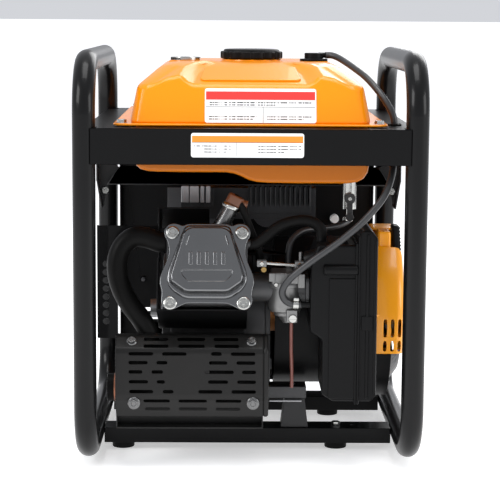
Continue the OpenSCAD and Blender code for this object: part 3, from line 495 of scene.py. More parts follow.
sootBlack = ((0.0027, 0.0027, 0.002925), (0.00405, 0.00405, 0.004275))
finishes = {
    "black_tube": finishOf("tubeBlack", *sootBlack, 0.3, blotch=9, grain=(1500, 0.012), coat=0.15,
        spread=0.03, specular=0.13),
    "black_sheet": finishOf("sheetBlack", *sootBlack, 0.36, blotch=12, grain=(1500, 0.03), coat=0.08,
        spread=0.05, specular=0.091),
    "heat_black": finishOf("heatBlack", (0.00315, 0.00306, 0.00297), (0.00585, 0.005625, 0.0054), 0.42,
        blotch=26, grain=(1700, 0.05), spread=0.1, specular=0.078),
    "tank_yellow": finishOf("tankYellow", (0.84, 0.255, 0.0002), (0.88, 0.275, 0.0004), 0.26, blotch=9,
        grain=(420, 0.02), coat=0.2, spread=0.06, specular=0.25),
    "cover_yellow": finishOf("coverYellow", (0.9, 0.33, 0.001), (0.94, 0.37, 0.002), 0.3, blotch=11,
        grain=(1500, 0.04), coat=0.3, spread=0.08),
    "black_plastic": finishOf("grainPlastic", (0.0036, 0.0036, 0.003825), (0.00585, 0.00585, 0.006075), 0.36,
        blotch=20, grain=(2100, 0.06), spread=0.08, specular=0.11),
    "socket_plastic": finishOf("socketPlastic", (0.03, 0.03, 0.033), (0.045, 0.045, 0.048), 0.32, blotch=30,
        grain=(2300, 0.04), spread=0.08),
    "red_plastic": finishOf("redPlastic", (0.5, 0.018, 0.012), (0.6, 0.03, 0.02), 0.33, blotch=40,
        grain=(2200, 0.05), spread=0.08),
    "yellow_plastic": finishOf("yellowPlastic", (0.86, 0.44, 0.01), (0.93, 0.52, 0.02), 0.36, blotch=40,
        grain=(2200, 0.06), spread=0.08),
    "white_plastic": finishOf("whitePlastic", (0.74, 0.74, 0.73), (0.82, 0.82, 0.82), 0.34, blotch=40,
        grain=(2200, 0.04), spread=0.08),
    "rubber": finishOf("softRubber", (0.0036, 0.0036, 0.0036), (0.0072, 0.006975, 0.00675), 0.5, blotch=30,
        grain=(2600, 0.1), spread=0.12, specular=0.1),
    "hose_grey": finishOf("hoseRubber", (0.02, 0.0205, 0.022), (0.032, 0.033, 0.035), 0.36, blotch=24,
        grain=(1900, 0.07), spread=0.1),
    "zinc": finishOf("zincPlate", (0.36, 0.36, 0.35), (0.56, 0.56, 0.53), 0.2, 1.0, blotch=60,
        grain=(1600, 0.05), spread=0.12),
    "cast_aluminium": castFinish(),
    "bright_steel": finishOf("brightSteel", (0.62, 0.63, 0.64), (0.8, 0.81, 0.82), 0.2, 1.0, blotch=30,
        grain=(700, 0.05), spread=0.1, brush=(1, 1, 3)),
    "forged_steel": finishOf("machinedSteel", (0.36, 0.36, 0.37), (0.5, 0.5, 0.5), 0.32, 1.0, blotch=40,
        grain=(500, 0.1), spread=0.12, brush=(8, 1, 1)),
    "piston_alloy": finishOf("pistonAlloy", (0.6, 0.6, 0.61), (0.72, 0.72, 0.73), 0.3, 1.0, blotch=40,
        grain=(600, 0.08), spread=0.12, brush=(1, 1, 6)),
    "copper_winding": finishOf("copperWinding", (0.5, 0.2, 0.07), (0.68, 0.3, 0.12), 0.34, 0.9, blotch=50,
        grain=(300, 0.4), spread=0.12, brush=(1, 6, 6)),
    "ceramic": finishOf("glazedCeramic", (0.8, 0.8, 0.77), (0.86, 0.86, 0.84), 0.16, blotch=30,
        grain=(900, 0.02), coat=0.4, spread=0.05),
    "lever_black": finishOf("leverBlack", (0.015, 0.015, 0.015), (0.028, 0.028, 0.028), 0.34, blotch=40,
        grain=(2100, 0.08), spread=0.1),
    "foam": finishOf("openFoam", (0.16, 0.165, 0.17), (0.3, 0.31, 0.32), 0.85, blotch=60,
        grain=(700, 0.9), spread=0.1),
    "label_film": labelFinish(),
}
bootBrown = finishOf("bootBrown", (0.12, 0.04, 0.018), (0.2, 0.075, 0.03), 0.34, blotch=60,
    grain=(1400, 0.15), spread=0.12)
# a deeper orange copy of the tank paint: painted shade for the lower tray under the tank's overhang
tankShade = finishOf("tankShade", (0.42, 0.11, 0.0005), (0.48, 0.13, 0.001), 0.3, blotch=9, grain=(420, 0.02),
    coat=0.15, spread=0.06, specular=0.2)
# bright steel darkened to stand in for the dark surroundings the cover reflects: a painted reflection
pressedSteel = finishOf("pressedSteel", (0.13, 0.132, 0.135), (0.2, 0.203, 0.206), 0.2, 1.0, blotch=16,
    grain=(900, 0.035), spread=0.08, brush=(1, 1, 3))
darkMetal = finishOf("darkMetal", (0.1, 0.1, 0.1), (0.2, 0.2, 0.2), 0.26, 0.9, blotch=60, grain=(900, 0.1),
    spread=0.12, brush=(1, 1, 5))
shieldBlack = finishOf("shieldBlack", (0.008, 0.0077, 0.0074), (0.014, 0.0135, 0.013), 0.32, blotch=24,
    grain=(1500, 0.04), spread=0.1, specular=0.2)
copperPipe = finishOf("copperPipe", (0.22, 0.085, 0.05), (0.4, 0.17, 0.1), 0.34, 0.9, blotch=70,
    grain=(1300, 0.08), spread=0.12)
ropeFibre = finishOf("ropeFibre", (0.02, 0.02, 0.02), (0.06, 0.06, 0.058), 0.7, blotch=300,
    grain=(1500, 0.5), spread=0.1, brush=(5, 1, 1))
carbAlloy = finishOf("carbAlloy", (0.13, 0.13, 0.13), (0.27, 0.268, 0.262), 0.38, 0.75, blotch=70,
    grain=(1300, 0.14), spread=0.14)
tubePink = finishOf("tubePink", (0.16, 0.05, 0.04), (0.24, 0.09, 0.07), 0.3, blotch=60, grain=(1500, 0.05))
paleAlloy = finishOf("paleAlloy", (0.3, 0.3, 0.31), (0.42, 0.42, 0.43), 0.35, 0.6, blotch=60,
    grain=(1300, 0.06), spread=0.12)
# cast alloy darkened into painted shade, for the engine parts that sit in shadow
castDark = finishOf("castDark", (0.035, 0.035, 0.036), (0.08, 0.08, 0.082), 0.42, 0.6, blotch=40,
    grain=(1100, 0.12), spread=0.14)
# black lightened to grey: painted light for the cross beam's face, which sits in shadow under the tank
beamGrey = finishOf("beamGrey", (0.0176, 0.0176, 0.0184), (0.0272, 0.0272, 0.028), 0.42, blotch=16,
    grain=(1500, 0.03), spread=0.06, specular=0.3)
finAlloy = finishOf("finAlloy", (0.03, 0.03, 0.032), (0.06, 0.06, 0.062), 0.4, 0.7, blotch=30,
    grain=(1200, 0.1), spread=0.14)
brass = finishOf("brass", (0.25, 0.16, 0.06), (0.36, 0.24, 0.09), 0.28, 1.0, blotch=80, grain=(1200, 0.05))
paleFloor = finishOf("paleFloor", studio["floor"], tuple(c * 0.985 for c in studio["floor"]), 0.6,
    blotch=3, grain=(60, 0.01), spread=0.05, specular=0.2, glow=0.5)
print("materials made:", len(bpy.data.materials))

addCamera()
addLamps()
world = bpy.data.worlds.new("paleWorld")
world.use_nodes = True
world.node_tree.nodes["Background"].inputs[0].default_value = (*studio["world"], 1)
world.node_tree.nodes["Background"].inputs[1].default_value = studio["worldStrength"]
bpy.context.scene.world = world
bpy.context.scene.view_settings.view_transform = "Standard"
lone()
bpy.ops.mesh.primitive_plane_add(size=studio["floorSize"], location=studio["floorAt"])
floor = bpy.context.object
floor.name = "floor"
floor.data.materials.append(paleFloor)

# ---- every CAD node gets its finish, and most get softened edges ----

edgeWidth = {
    # node: width of its rounded edges
    "cross_panels": 0.7, "side_rails": 0.6, "cross_beam": 0.7, "inverter_module": 0.35, "base_rails": 0.7,
    "rubber_feet": 1.2, "frame_bolts": 0.4, "filler_neck": 0.5, "cap_gasket": 0.5, "rollover_valve": 0.8,
    "hose_grommet": 0.6, "fuel_valve": 0.4, "fuel_valve_lever": 0.6, "crankcase": 1.2, "crankcase_cover": 1.0,
    "cylinder_barrel": 0.4, "cylinder_head": 0.8, "engine_shroud": 0.5,
    "recoil_pulley": 0.4, "flywheel_rotor": 0.6, "cooling_fan": 0.3, "alternator_stator": 0.5, "piston": 0.3,
    "connecting_rod": 0.6, "spark_plug": 0.3, "ignition_coil": 0.8,
    "air_element": 0.8, "muffler": 0.8,
    "exhaust_guard": 0.4, "engine_mounts": 1.0, "oil_cap": 0.8, "control_panel": 1.2, "panel_sockets": 0.6,
    "socket_flap": 0.6, "engine_switch": 0.5, "eco_switch": 0.5, "breaker_button": 0.7, "fuel_gauge": 0.5,
    "gauge_needle": 0.15,
}
# cross_beam and engine_mounts take the lightened black, which is painted light; the crankcase, its cover, the
# barrel and the head take the darkened cast, which is painted shade
ownFinish = {
    "inverter_module": finAlloy, "cross_beam": beamGrey, "crankcase": castDark, "crankcase_cover": castDark,
    "cylinder_barrel": castDark, "cylinder_head": castDark, "engine_mounts": beamGrey,
}
for node, item in frame["nodes"].items():
    item.data.materials.clear()
    item.data.materials.append(finishes[slotOf[node]])
for node, width in edgeWidth.items():
    piece = bevel(nodeCopy(node), width, 2, 38)
    parts = node.split("_")
    name = parts[0] + "".join(part.title() for part in parts[1:]) + "Soft"
    material = ownFinish.get(node, finishes[slotOf[node]])
    finishPiece(piece, name, material, bodyOf[node], [node])
for node in ("left_hoop", "right_hoop", "crankshaft"):
    smooth(frame["nodes"][node])
print("nodes softened:", len(edgeWidth))

# ---- the fuel tank ----

fillerAt = (2.7, -20)
gaugeAt = (-83, -30, 0)
tank = {
    "flange": (334, 400, 12, 429.4, 432.2),
    # half width, half length, corner radius, height at the corners, the shoulders, the channel and the rear,
    # and how far out the shoulders and the channel reach
    "rings": [
        (147.5, 190, 15, 431.2, 431.2, 431.2, 431.2, 88, 76),
        (139, 172, 16, 476.5, 489.5, 478.5, 480, 86, 74, 0.4),
        (112, 128, 22, 499.2, 499.8, 490.5, 499.2, 79, 68),
        (98, 106, 20, 503.6, 503.8, 497.6, 503.6, 67, 58),
        (86, 90, 18, 504.1, 504.1, 501.6, 504.1, 57, 49),
        (72, 74, 16, 504.2, 504.2, 504.2, 504.2, 46, 38),
    ],
    "creaseWidth": 5.0,
    "wellRadius": 30.2,
    "trayOutline": [
        (-142, 428), (-142, 388), (-139.5, 380), (-134, 375.5), (-126, 373.2), (-112, 372.3), (-60, 372.1),
        (-30, 372), (-20, 370.8), (-11, 367.3), (-2, 363), (8, 360.4), (22, 359.4), (60, 359), (118, 359),
        (131, 360.8), (139, 365.5), (143.5, 372.5), (145.5, 382), (146, 428),
    ],
}


def ringPoints(halfWidth, halfLength, radius, corner, shoulder, channel, rear, out, inner, lean=0):
    end = halfWidth - radius
    midway = (out + halfWidth - radius) / 2
    eased = shoulder - (shoulder - corner) * 0.3
    stations = [
        (-end, corner), (-midway, eased), (-out, shoulder), (-inner, channel),
        (inner, channel), (out, shoulder), (midway, eased), (end, corner),
    ]
    points = [(x, -halfLength + lean * (z - corner), z) for x, z in stations]
    arcs = [(1, -1, 270), (1, 1, 0), (-1, 1, 90), (-1, -1, 180)]
    for k, (sx, sy, start) in enumerate(arcs):
        for i in range(1 if k == 0 else 0, 7 if k < 3 else 6):
            a = math.radians(start + 90 * i / 6)
            points.append((
                sx * end + radius * math.cos(a),
                sy * (halfLength - radius) + radius * math.sin(a), corner,
            ))
        if k == 1:
            points += [(x, halfLength, rear) for x, z in reversed(stations[1:-1])]
    return points


def tankUpper():
    loops = [trace(ringPoints(*ring) + ringPoints(*ring)[:1], close=False) for ring in tank["rings"]]
    for loop in loops:
        done(loop, normals=False)
    piece = joined(loops)
    edit(piece, "EDGE", every=True)
    bpy.ops.mesh.bridge_edge_loops()
    for high in (True, False):
        level = tank["rings"][-1 if high else 0][3]
        pickEdges(piece, lambda at, along: abs(at.z - level) < 0.01 and (not high or abs(at.x) < 73))
        bpy.ops.mesh.edge_face_add()
    done(piece)
    bevel(piece, tank["creaseWidth"], 4, 17)
    cut(piece, [rod((*fillerAt, 440), (*fillerAt, 520), tank["wellRadius"], 48)])
    return piece


print("shaping the tank")
upper = tankUpper()
width, length, radius, low, high = tank["flange"]
flange = slab([(x, y, low) for x, y in roundRect(width, length, radius)], (0, 0, high - low), 1.2, 3)
panel = slab([
    (-60, -156, 482.2), (-56, -158, 481.7), (56, -158, 481.7), (60, -156, 482.2), (62, -152, 483.3),
    (57, -110, 495.6), (53, -106, 496.8), (-53, -106, 496.8), (-57, -110, 495.6), (-62, -152, 483.3),
], (0, -0.6, 2.6), 1.4, 3)
gaugePad = lathe([(0, 494), (24, 494), (22.5, 501), (20.6, 504.3), (0, 504.3)], gaugeAt, "Z", 40)
valvePad = lathe([(0, 494), (23, 494), (21.5, 501), (19, 504.25), (0, 504.25)], (83, -40, 0), "Z", 40)
collar = lathe([(30.3, 503), (39.5, 503), (38.8, 505.4), (37.5, 506.1), (34.5, 506.1), (34.5, 505.9),
                (30.3, 505.9), (30.3, 503)], (*fillerAt, 0), "Z", 56)
upper = joined([upper, flange, panel, gaugePad, valvePad, collar])
slotPiece(upper, "tankShell", "tank_yellow", ["tank_upper"], 34)

front = slab([(x, -185, z) for x, z in tank["trayOutline"]], (0, 124, 0), 5, 4, 40)
rear = block((-142, -64, 371.2), (147, 185, 428.5), 9, 4)
tray = joined([front, rear])
# the tray takes the darker copy of the tank paint, which is painted shade
finishPiece(tray, "tankTray", tankShade, "frame", ["tank_lower"], 34)

# ---- cap, gauge and the marks on its dial ----

cap = {
    "lobes": 14, "radius": 40.5, "valley": 3.4, "hollow": 35.6, "low": 506.5, "rim": 516.2,
    "crown": [(0, 515.6), (36.6, 515.6), (36.3, 517.6), (35, 518.7), (33.2, 519), (29, 518.6), (0, 518.4)],
}


def fuelCap():
    points = []
    for i in range(cap["lobes"] * 10):
        a = 2 * math.pi * i / (cap["lobes"] * 10)
        r = cap["radius"] - cap["valley"] * (1 - abs(math.cos(cap["lobes"] * a / 2)) ** 0.45)
        points.append((fillerAt[0] + r * math.cos(a), fillerAt[1] + r * math.sin(a), cap["low"]))
    body = slab(points, (0, 0, cap["rim"] - cap["low"]), 1.8, 3, 50)
    cut(body, [rod((*fillerAt, 500), (*fillerAt, 515), cap["hollow"], 56)])
    crown = lathe(cap["crown"], (*fillerAt, 0), "Z", 64)
    return joined([body, crown])


slotPiece(fuelCap(), "fuelCapLobed", "black_plastic", ["fuel_cap"], 40, "cap")


def dialFinish():
    sheet = Sheet("gaugeDial")
    x, y, z = sheet.axes()
    dx, dy = x + 0.083, y + 0.03
    away = (dx * dx + dy * dy) ** 0.5
    turn = sheet.add("ShaderNodeMath", {"operation": "ARCTAN2"}, {0: dx, 1: dy})
    steps = sheet.add("ShaderNodeMath", {"operation": "PINGPONG"}, {0: turn, 1: 0.19635})
    ticks = (steps < 0.03) * sheet.between(away, 0.0115, 0.0148)
    band = sheet.between(away, 0.0100, 0.0108)
    low = band * sheet.between(turn, 1.15, 1.62)
    tone = sheet.mix(low, sheet.mix(ticks, (0.8, 0.8, 0.78), (0.02, 0.02, 0.02)), (0.7, 0.03, 0.02))
    dust = sheet.noise(260, 4.0)
    return sheet.finish(Base_Color=tone, Roughness=dust * 0.12 + 0.2, Normal=sheet.bump(dust, 0.02, 0.0002))


bezel = lathe([(12, 504.4), (19.3, 504.4), (19.5, 506.4), (18.9, 507.9), (17.6, 508.4), (16.5, 507.9),
               (16.2, 506.2), (12, 506.0), (12, 504.4)], gaugeAt, "Z", 56)
slotPiece(bezel, "gaugeBezel", "zinc")
dial = lathe([(0, 505.4), (16.4, 505.4), (16.4, 506.2), (0, 506.2)], gaugeAt, "Z", 48)
finishPiece(dial, "gaugeDialPlate", dialFinish(), "frame")

# ---- pressed valve cover, shaped flat and then leaned with the bore ----

boreLean = math.radians(65)
atBore = Matrix.Rotation(boreLean, 4, "X")
boreShift = (-52.5, 0, 172)
cover = {
    "flangeHalf": [
        (20.5, 54.8), (26, 53.8), (31, 52.4), (36, 54.3), (42, 55.2), (49, 53), (53.3, 46), (52.5, 38),
        (49, 30), (47.4, 20), (49.2, 8), (53.6, -3), (57.2, -13), (58, -22), (56.2, -29), (55.4, -36),
        (56, -44), (54, -51), (48, -55.3), (41, -55), (33, -51.4), (27, -48.6), (20, -47.6),
    ],
    "skirtHalf": [(23, 52.2), (28.5, 49.5), (48.6, -6.5), (50.2, -21), (42, -33), (27, -42.4)],
    "crownHalf": [(20.5, 46), (28.5, 41), (44.8, -16.8), (43.2, -23.2), (25.8, -36)],
    "pocket": [(-31.5, -9.2), (31.5, -9.2), (30.5, -15.5), (23, -23.6), (-23, -23.6), (-30.5, -15.5)],
    "ribsX": (-20, -10, 0, 10, 20),
    "seat": 196.1,
}


def bothHalves(half):
    return half + [(-x, y) for x, y in reversed(half)]


def rounded(points, radius, steps=4):
    out = []
    count = len(points)
    for i in range(count):
        before, at, after = (Vector(points[(i + k) % count]) for k in (-1, 0, 1))
        a, b = (before - at), (after - at)
        reach = min(radius, a.length * 0.45, b.length * 0.45)
        start, end = at + a.normalized() * reach, at + b.normalized() * reach
        for j in range(steps + 1):
            t = j / steps
            out.append(tuple((1 - t) ** 2 * start + 2 * t * (1 - t) * at + t * t * end))
    return out


def closedRoute(points, steps):
    loop = [points[-2], points[-1]] + points + points[:2]
    line = smoothRoute([(x, y, 0) for x, y in loop], steps)
    return [(p.x, p.y) for p in line[2 * steps:-2 * steps][:len(points) * steps]]


def inset(points, by):
    out = []
    for i, (x, y) in enumerate(points):
        along = (Vector(points[(i + 1) % len(points)]) - Vector(points[i - 1])).normalized()
        out.append((x + along.y * by, y - along.x * by))
    return out


def stack(levels):
    # bridges closed outlines of equal count, each given as (points, height), and closes both ends
    loops = [trace([(x, y, z) for x, y in points + points[:1]], close=False) for points, z in levels]
    for loop in loops:
        done(loop, normals=False)
    piece = joined(loops)
    edit(piece, "EDGE", every=True)
    bpy.ops.mesh.bridge_edge_loops()
    for points, z in (levels[0], levels[-1]):
        pickEdges(piece, lambda at, along: abs(at.z - z) < 0.005)
        bpy.ops.mesh.edge_face_add()
    return done(piece)


def valveCover():
    z = cover["seat"]
    edge = closedRoute(bothHalves(cover["flangeHalf"]), 3)
    plate = slab([(x, y, z) for x, y in edge], (0, 0, 3.2), 1.1, 3, 50)
    skirt = rounded(bothHalves(cover["skirtHalf"]), 7)
    crown = rounded(bothHalves(cover["crownHalf"]), 5, 4)
    step = stack([(skirt, z + 2.5), (skirt, z + 4.6), (inset(skirt, 0.5), z + 6.1),
                  (inset(skirt, 1.6), z + 7.2), (inset(skirt, 3.4), z + 7.6)])
    dome = stack([
        (inset(crown, -3.6), z + 6.6), (inset(crown, -2.4), z + 7.4), (inset(crown, -1.6), z + 9),
        (inset(crown, -0.2), z + 15.4), (inset(crown, 0.3), z + 16.7), (inset(crown, 1.1), z + 17.6),
        (inset(crown, 2.4), z + 18.1),
    ])
    cut(dome, [slab([(x, y, z + 16.2) for x, y in rounded(cover["pocket"], 3)], (0, 0, 6))])
    bevel(dome, 0.9, 3, 40)
    extras = [
        rod((s * 22.4, 35, z + 17.9), (s * 26.2, 21.8, z + 17.9), 1.3, 16, bevelWidth=0.6) for s in (-1, 1)
    ]
    for x in cover["ribsX"]:
        extras.append(block((x - 2.6, -3.5, z + 16.5), (x + 2.6, 13.5, z + 19.2), 1.0, 3))
    return place(joined([plate, step, dome] + extras), atBore, boreShift)


# the valve cover takes the darkened steel, which is a painted reflection
finishPiece(valveCover(), "valveCoverPressed", pressedSteel, "frame", ["valve_cover"], 55)

# ---- spark plug boot ----

atPlug = Matrix.Rotation(math.radians(27), 4, "Y")
plugShift = (-42.5, -129, 285)
boot = lathe([(5.4, -3), (10.3, -3), (11.3, 0), (11, 14), (10.2, 28), (9.8, 42), (5, 42)], steps=40)
ring = lathe([(7, 41), (11.4, 41), (12, 42.4), (12, 45), (11.2, 46.4), (7, 46.6)], steps=40)
tip = slab([(x, y, 46) for x, y in roundRect(21, 16, 6)], (0, 0, 13.5), 2.4, 4)
neck = rod((6, 0, 53), (17, 0, 55), 5.0, 24, bevelWidth=1.0)
finishPiece(place(boot, atPlug, plugShift), "plugBoot", darkMetal, "frame")
slotPiece(place(ring, atPlug, plugShift), "plugRing", "zinc")
finishPiece(place(joined([tip, neck]), atPlug, plugShift), "plugCapBlock", bootBrown, "frame")

# ---- bolt heads and hose clamps ----


def boltHead(at, along, size=6.2, height=5.4, washer=8.2):
    points = [(0, 0), (washer, 0), (washer + 0.2, 0.6), (washer - 0.3, 1.3), (size + 0.3, 1.9), (0, 1.9)]
    seat = lathe(points, steps=28)
    head = rod((0, 0, 1.5), (0, 0, height), size, 6, bevelWidth=0.5)
    cut(head, [rod((0, 0, height - 0.9), (0, 0, height + 2), size * 0.5, 20, size * 0.8)])
    return place(joined([seat, head]), facing(along), at)


leanUp = (0, -math.sin(boreLean), math.cos(boreLean))


def borePoint(x, y, z):
    return (atBore @ Vector((x, y, z))) + Vector(boreShift)


bolts = []
for x, y, low in ((-43, 43, 0), (43, 43, 0), (-45, -43, 4.5), (45, -43, 4.5)):
    bolts.append(boltHead(borePoint(x, y - low, 199.4), leanUp))
    bolts.append(rod(borePoint(x, y, 174), borePoint(x, y, 199), 3, 20))
for x in (-95, 61):
    for y in (-69, 118):
        bolts.append(rod((x, y, 32), (x, y, 68 if x < 0 else 82), 4, 20))
        bolts.append(boltHead((x, y, 33), (0, 0, -1), 7, 5))
        if x > 0:
            bolts.append(boltHead((x, y, 74), (0, 0, 1), 7, 5))
slotPiece(joined(bolts), "engineBoltSet", "zinc", ["engine_bolts"])
shieldHeads = [boltHead((x, -193.6, 86), (0, -1, 0), 5.6, 4.6, 7.6) for x in (-142.5, 5)]
shieldHeads += [boltHead((x, -179.6, 161.2), (0, -0.66, 0.75), 5.2, 4.2, 6.6) for x in (-145.5, 3)]
finishPiece(joined(shieldHeads), "shieldBoltHeads", darkMetal, "frame")


def clamp(at, along, radius, wide):
    half = wide / 2
    band = lathe([
        (radius + 0.1, -half), (radius + 0.9, -half), (radius + 1.1, -half + 0.8), (radius + 0.8, 0),
        (radius + 1.1, half - 0.8), (radius + 0.9, half), (radius + 0.1, half), (radius + 0.1, -half),
    ], steps=32)
    ear = block((-3.2, radius + 0.5, -half), (3.2, radius + 4.6, half), 0.7, 2)
    cut(ear, [block((-1.2, radius + 2.2, -wide), (1.2, radius + 6, wide))])
    return place(joined([band, ear]), facing(along), at)


clamps = [
    # place, the way the hose runs, hose radius, width
    ((57.5, -182.3, 208.6), (1, 0, -0.05), 4.3, 6.5),
    ((129, -75.1, 302.6), (0.1, 0.1, 1), 4.1, 5),
    ((50, -126, 250), (0, 0, 1), 4.1, 5),
]
slotPiece(joined([clamp(*where) for where in clamps]), "hoseClamps", "zinc")
spout = rod((63, -182, 208.6), (76, -182, 208.6), 2.0, 16, bevelWidth=0.4)
slotPiece(spout, "ventSpout", "black_plastic")

# ---- heat shield ----

shield = {
    "reach": (-165.5, 18),
    "line": [(-166, 168), (-173, 167), (-190, 152), (-194, 92), (-176, 65)],
    # height of each row and its slots, as pairs of X
    "rows": [
        (163.3, [(-131, -100), (-89.5, -54.5), (-44.5, -13)]),
        (156.2, [(-131, -99.5), (-88, -54.5), (-43, -12)]),
        (147.5, [(-149, -118.5), (-107.5, -77.5), (-47, -34), (-22.5, 7.5)]),
        (136.5, [(-149, -125.5), (-114.5, -101), (-49.5, -27), (-15.5, 7.5)]),
        (125.0, [(-149, -132), (-120.5, -106.5), (-54.5, -19), (-8.5, 8.5)]),
        (112.7, [(-148.5, -125), (-114, -104), (-50.5, -26), (-14.5, 8.5)]),
        (100.5, [(-148, -118.5), (-106.5, -93.5), (-62.5, -33), (-21.5, 8.5)]),
        (88.3, [(-130.5, -98), (-87, -52), (-41, -9.5)]),
        (76.5, [(-129, -98), (-87, -52), (-41, -10.5)]),
    ],
}


def heatShield():
    left, right = shield["reach"]
    line = rounded([(-160, 168.2)] + shield["line"] + [(-174.6, 64.6)], 5, 4)[5:-5]
    back = [(y + 1.5, z - (0.6 if z > 160 else 0)) for y, z in reversed(line)]
    skin = slab([(left, y, z) for y, z in line + back], (right - left, 0, 0))
    cutters = []
    for height, slots in shield["rows"]:
        for start, end in slots:
            tall = 2.1 if height < 150 else 1.7
            cutters.append(block((start + 2, -215, height - tall), (end - 2, -160, height + tall)))
            for x in (start + 2, end - 2):
                cutters.append(rod((x, -215, height), (x, -160, height), tall, 14))
    cut(skin, cutters)
    bevel(skin, 0.35, 2, 40)
    ends = []
    for x in (left, right - 1.5):
        outline = [(y, z) for y, z in line] + [(-176, 50), (-150, 50), (-166, 72), (-169, 160)]
        ends.append(slab([(x, y, z) for y, z in outline], (1.5, 0, 0), 0.4, 2, 40))
    rim = slab([(right - 0.5, y, z) for y, z in line + [(-150, 60), (-150, 160)]], (7, 0, 0), 3.2, 4)
    lip = block((left, -176, 49.6), (right, -150, 51.6), 0.6, 2)
    skirt = block((left + 1, -153, 50), (right - 1, -151, 74), 0.5, 2)
    return joined([skin, rim, lip, skirt] + ends)


finishPiece(heatShield(), "heatShieldSlotted", shieldBlack, "frame", ["heat_shield"], 30)
outletRing = lathe([(14, -176), (16.2, -176), (16.8, -174.5), (16.8, -171), (18, -169.5), (18, -166),
                    (14, -166), (14, -176)], (0, -133, 93), "X", 40)
finishPiece(outletRing, "outletRing", copperPipe, "frame")

# ---- recoil cover and starter handle ----

recoil = {
    "wheelAt": (0, 0, 172),
    "profile": [(103, 160.5), (112, 160.5), (114.5, 162.5), (115, 166), (115, 190), (114, 195), (110, 198.6),
                (103, 200.3), (96, 200.6), (92, 199.6), (88, 196.8), (80, 196.2), (24, 199), (20, 197.5),
                (0, 197)],
    "floorHeight": 132,
}


def recoilCover():
    middle = Vector(recoil["wheelAt"])
    outer = recoil["profile"]
    inner = [(max(r - 2.4, 0), h - 2.4) for r, h in reversed(outer)][:-2] + [(106, 161), (103, 160.5)]
    shell = lathe(outer + inner, middle, "X", 96)
    cutters = [block((100, -200, 0), (260, 200, recoil["floorHeight"]))]
    cutters.append(block((184, -67, 222), (220, -23, 320)))
    cutters.append(block((160, -66, 264), (189, -24, 300)))
    cut(shell, cutters)
    slots = []
    for i in range(3):
        x = 172.8 + i * 9.3
        for low, high in ((155, 178), (135.8, 149.5)):
            slots.append(block((x, -130, low + 2), (x + 4.4, -72, high - 2)))
            for z in (low + 2, high - 2):
                slots.append(rod((x + 2.2, -130, z), (x + 2.2, -72, z), 2.2, 14))
    for k in range(9):
        a = math.radians(k * 40 + 20)
        near = middle + Vector((190, math.cos(a) * 38, math.sin(a) * 38))
        far = middle + Vector((190, math.cos(a) * 62, math.sin(a) * 62))
        for spot in (near, far):
            slots.append(rod((180, spot.y, spot.z), (206, spot.y, spot.z), 3.6, 16))
        span = far - near
        turn = Matrix.Rotation(a, 4, "X")
        slots.append(place(block((-10, 0, -3.6), (16, span.length, 3.6)), turn, near))
    cut(shell, slots)
    bevel(shell, 0.6, 2, 42)
    return shell


slotPiece(recoilCover(), "recoilCoverShell", "cover_yellow", ["recoil_cover"], 38)
ropeAt = (-45, 258)
bandLine = [(163, -116.4, 181.6), (163, -113, 181.6), (199, -96, 186.5), (199, -99.4, 186.5)]
band = slab(bandLine, (0, 0, 2.6), 0.8, 2)
tower = block((168, -64, 250), (185, -26, 285), 3, 4)
cut(tower, [rod((x, y, 280), (x, y, 292), 3.6, 20) for x in (173.5, 180) for y in (-54, -36)])
rib = block((165, -62, 240), (186.5, -28, 258), 5, 5)
slotPiece(joined([tower, rib, band]), "ropeTower", "cover_yellow")
eyelet = lathe([(2.8, 183.2), (7.5, 183.2), (7.8, 184.6), (6.4, 186), (4, 186.4), (2.9, 185.6), (2.8, 183.2)],
               (0, *ropeAt), "X", 32)
slotPiece(eyelet, "ropeEyelet", "black_plastic")


grip = {"at": (186.5, -45, 266), "halfWidth": 14, "halfHeight": 26, "ribStep": 4.6, "ribHalf": 1.3}


def starterHandle():
    x, y, z = grip["at"]
    tall, rib = grip["halfHeight"], grip["ribHalf"]
    side = [(x + 3.5, z - tall), (x + 13.6, z - tall), (x + 10.2, z + tall), (x, z + tall)]
    wide = grip["halfWidth"]
    pieces = [slab([(a, y - wide, b) for a, b in side], (0, 2 * wide, 0), 3.4, 5, 40)]
    for k in range(-5, 6):
        up = z + k * grip["ribStep"]
        pieces.append(block((x + 8, y - 13.6, up - rib), (x + 12.6 - k * 0.3, y + 13.6, up + rib), 1.0, 2))
    return joined(pieces)


slotPiece(starterHandle(), "starterGripRibbed", "black_plastic", ["starter_handle"], body="starter_grip")
rope = tube([(x, *ropeAt) for x in (176, 181, 186, 188)], 2.2, 8)
smooth(rope, 60)
rope.name = "starterRope"
rope.data.materials.append(ropeFibre)
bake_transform(rope)

# ---- air box ----

airBox = {"left": 75, "split": 133, "right": 157, "near": -190, "far": -102, "low": 88, "high": 284}


def airBoxBody():
    near, far = airBox["near"], airBox["far"]
    outline = [(75, 262), (84, 284), (134, 284), (134, 88), (104, 88), (90, 97), (90, 166), (75, 176)]
    body = slab([(x, near, z) for x, z in outline], (0, far - near, 0), 3.2, 4, 35)
    hollow = [(78, 262), (86, 281), (140, 281), (140, 91), (105, 91), (93, 98), (93, 167), (78, 177)]
    cut(body, [slab([(x, near + 3, z) for x, z in hollow], (0, far - near - 6, 0)),
               rod((70, -150, 225), (80, -150, 225), 11)])
    rib = rod((91, near - 0.6, 253.5), (133, near - 0.6, 253.5), 6.6, 32, bevelWidth=1.6, segments=3)
    stepOutline = ((98, 92), (131, 92), (131, 243), (98, 243))
    step = slab([(x, near - 1.6, z) for x, z in stepOutline], (0, 3, 0), 1.4, 3)
    rim = block((130, near - 3, 85), (133, far + 1, 287), 1.2, 3)
    neck = rod((90, -150, 283), (90, -150, 291), 6.2, 32, bevelWidth=0.8)
    stub = rod((63, -182, 208.5), (75.5, -182, 208.5), 3.5, 20, bevelWidth=0.5)
    return joined([body, rib, step, rim, neck, stub])


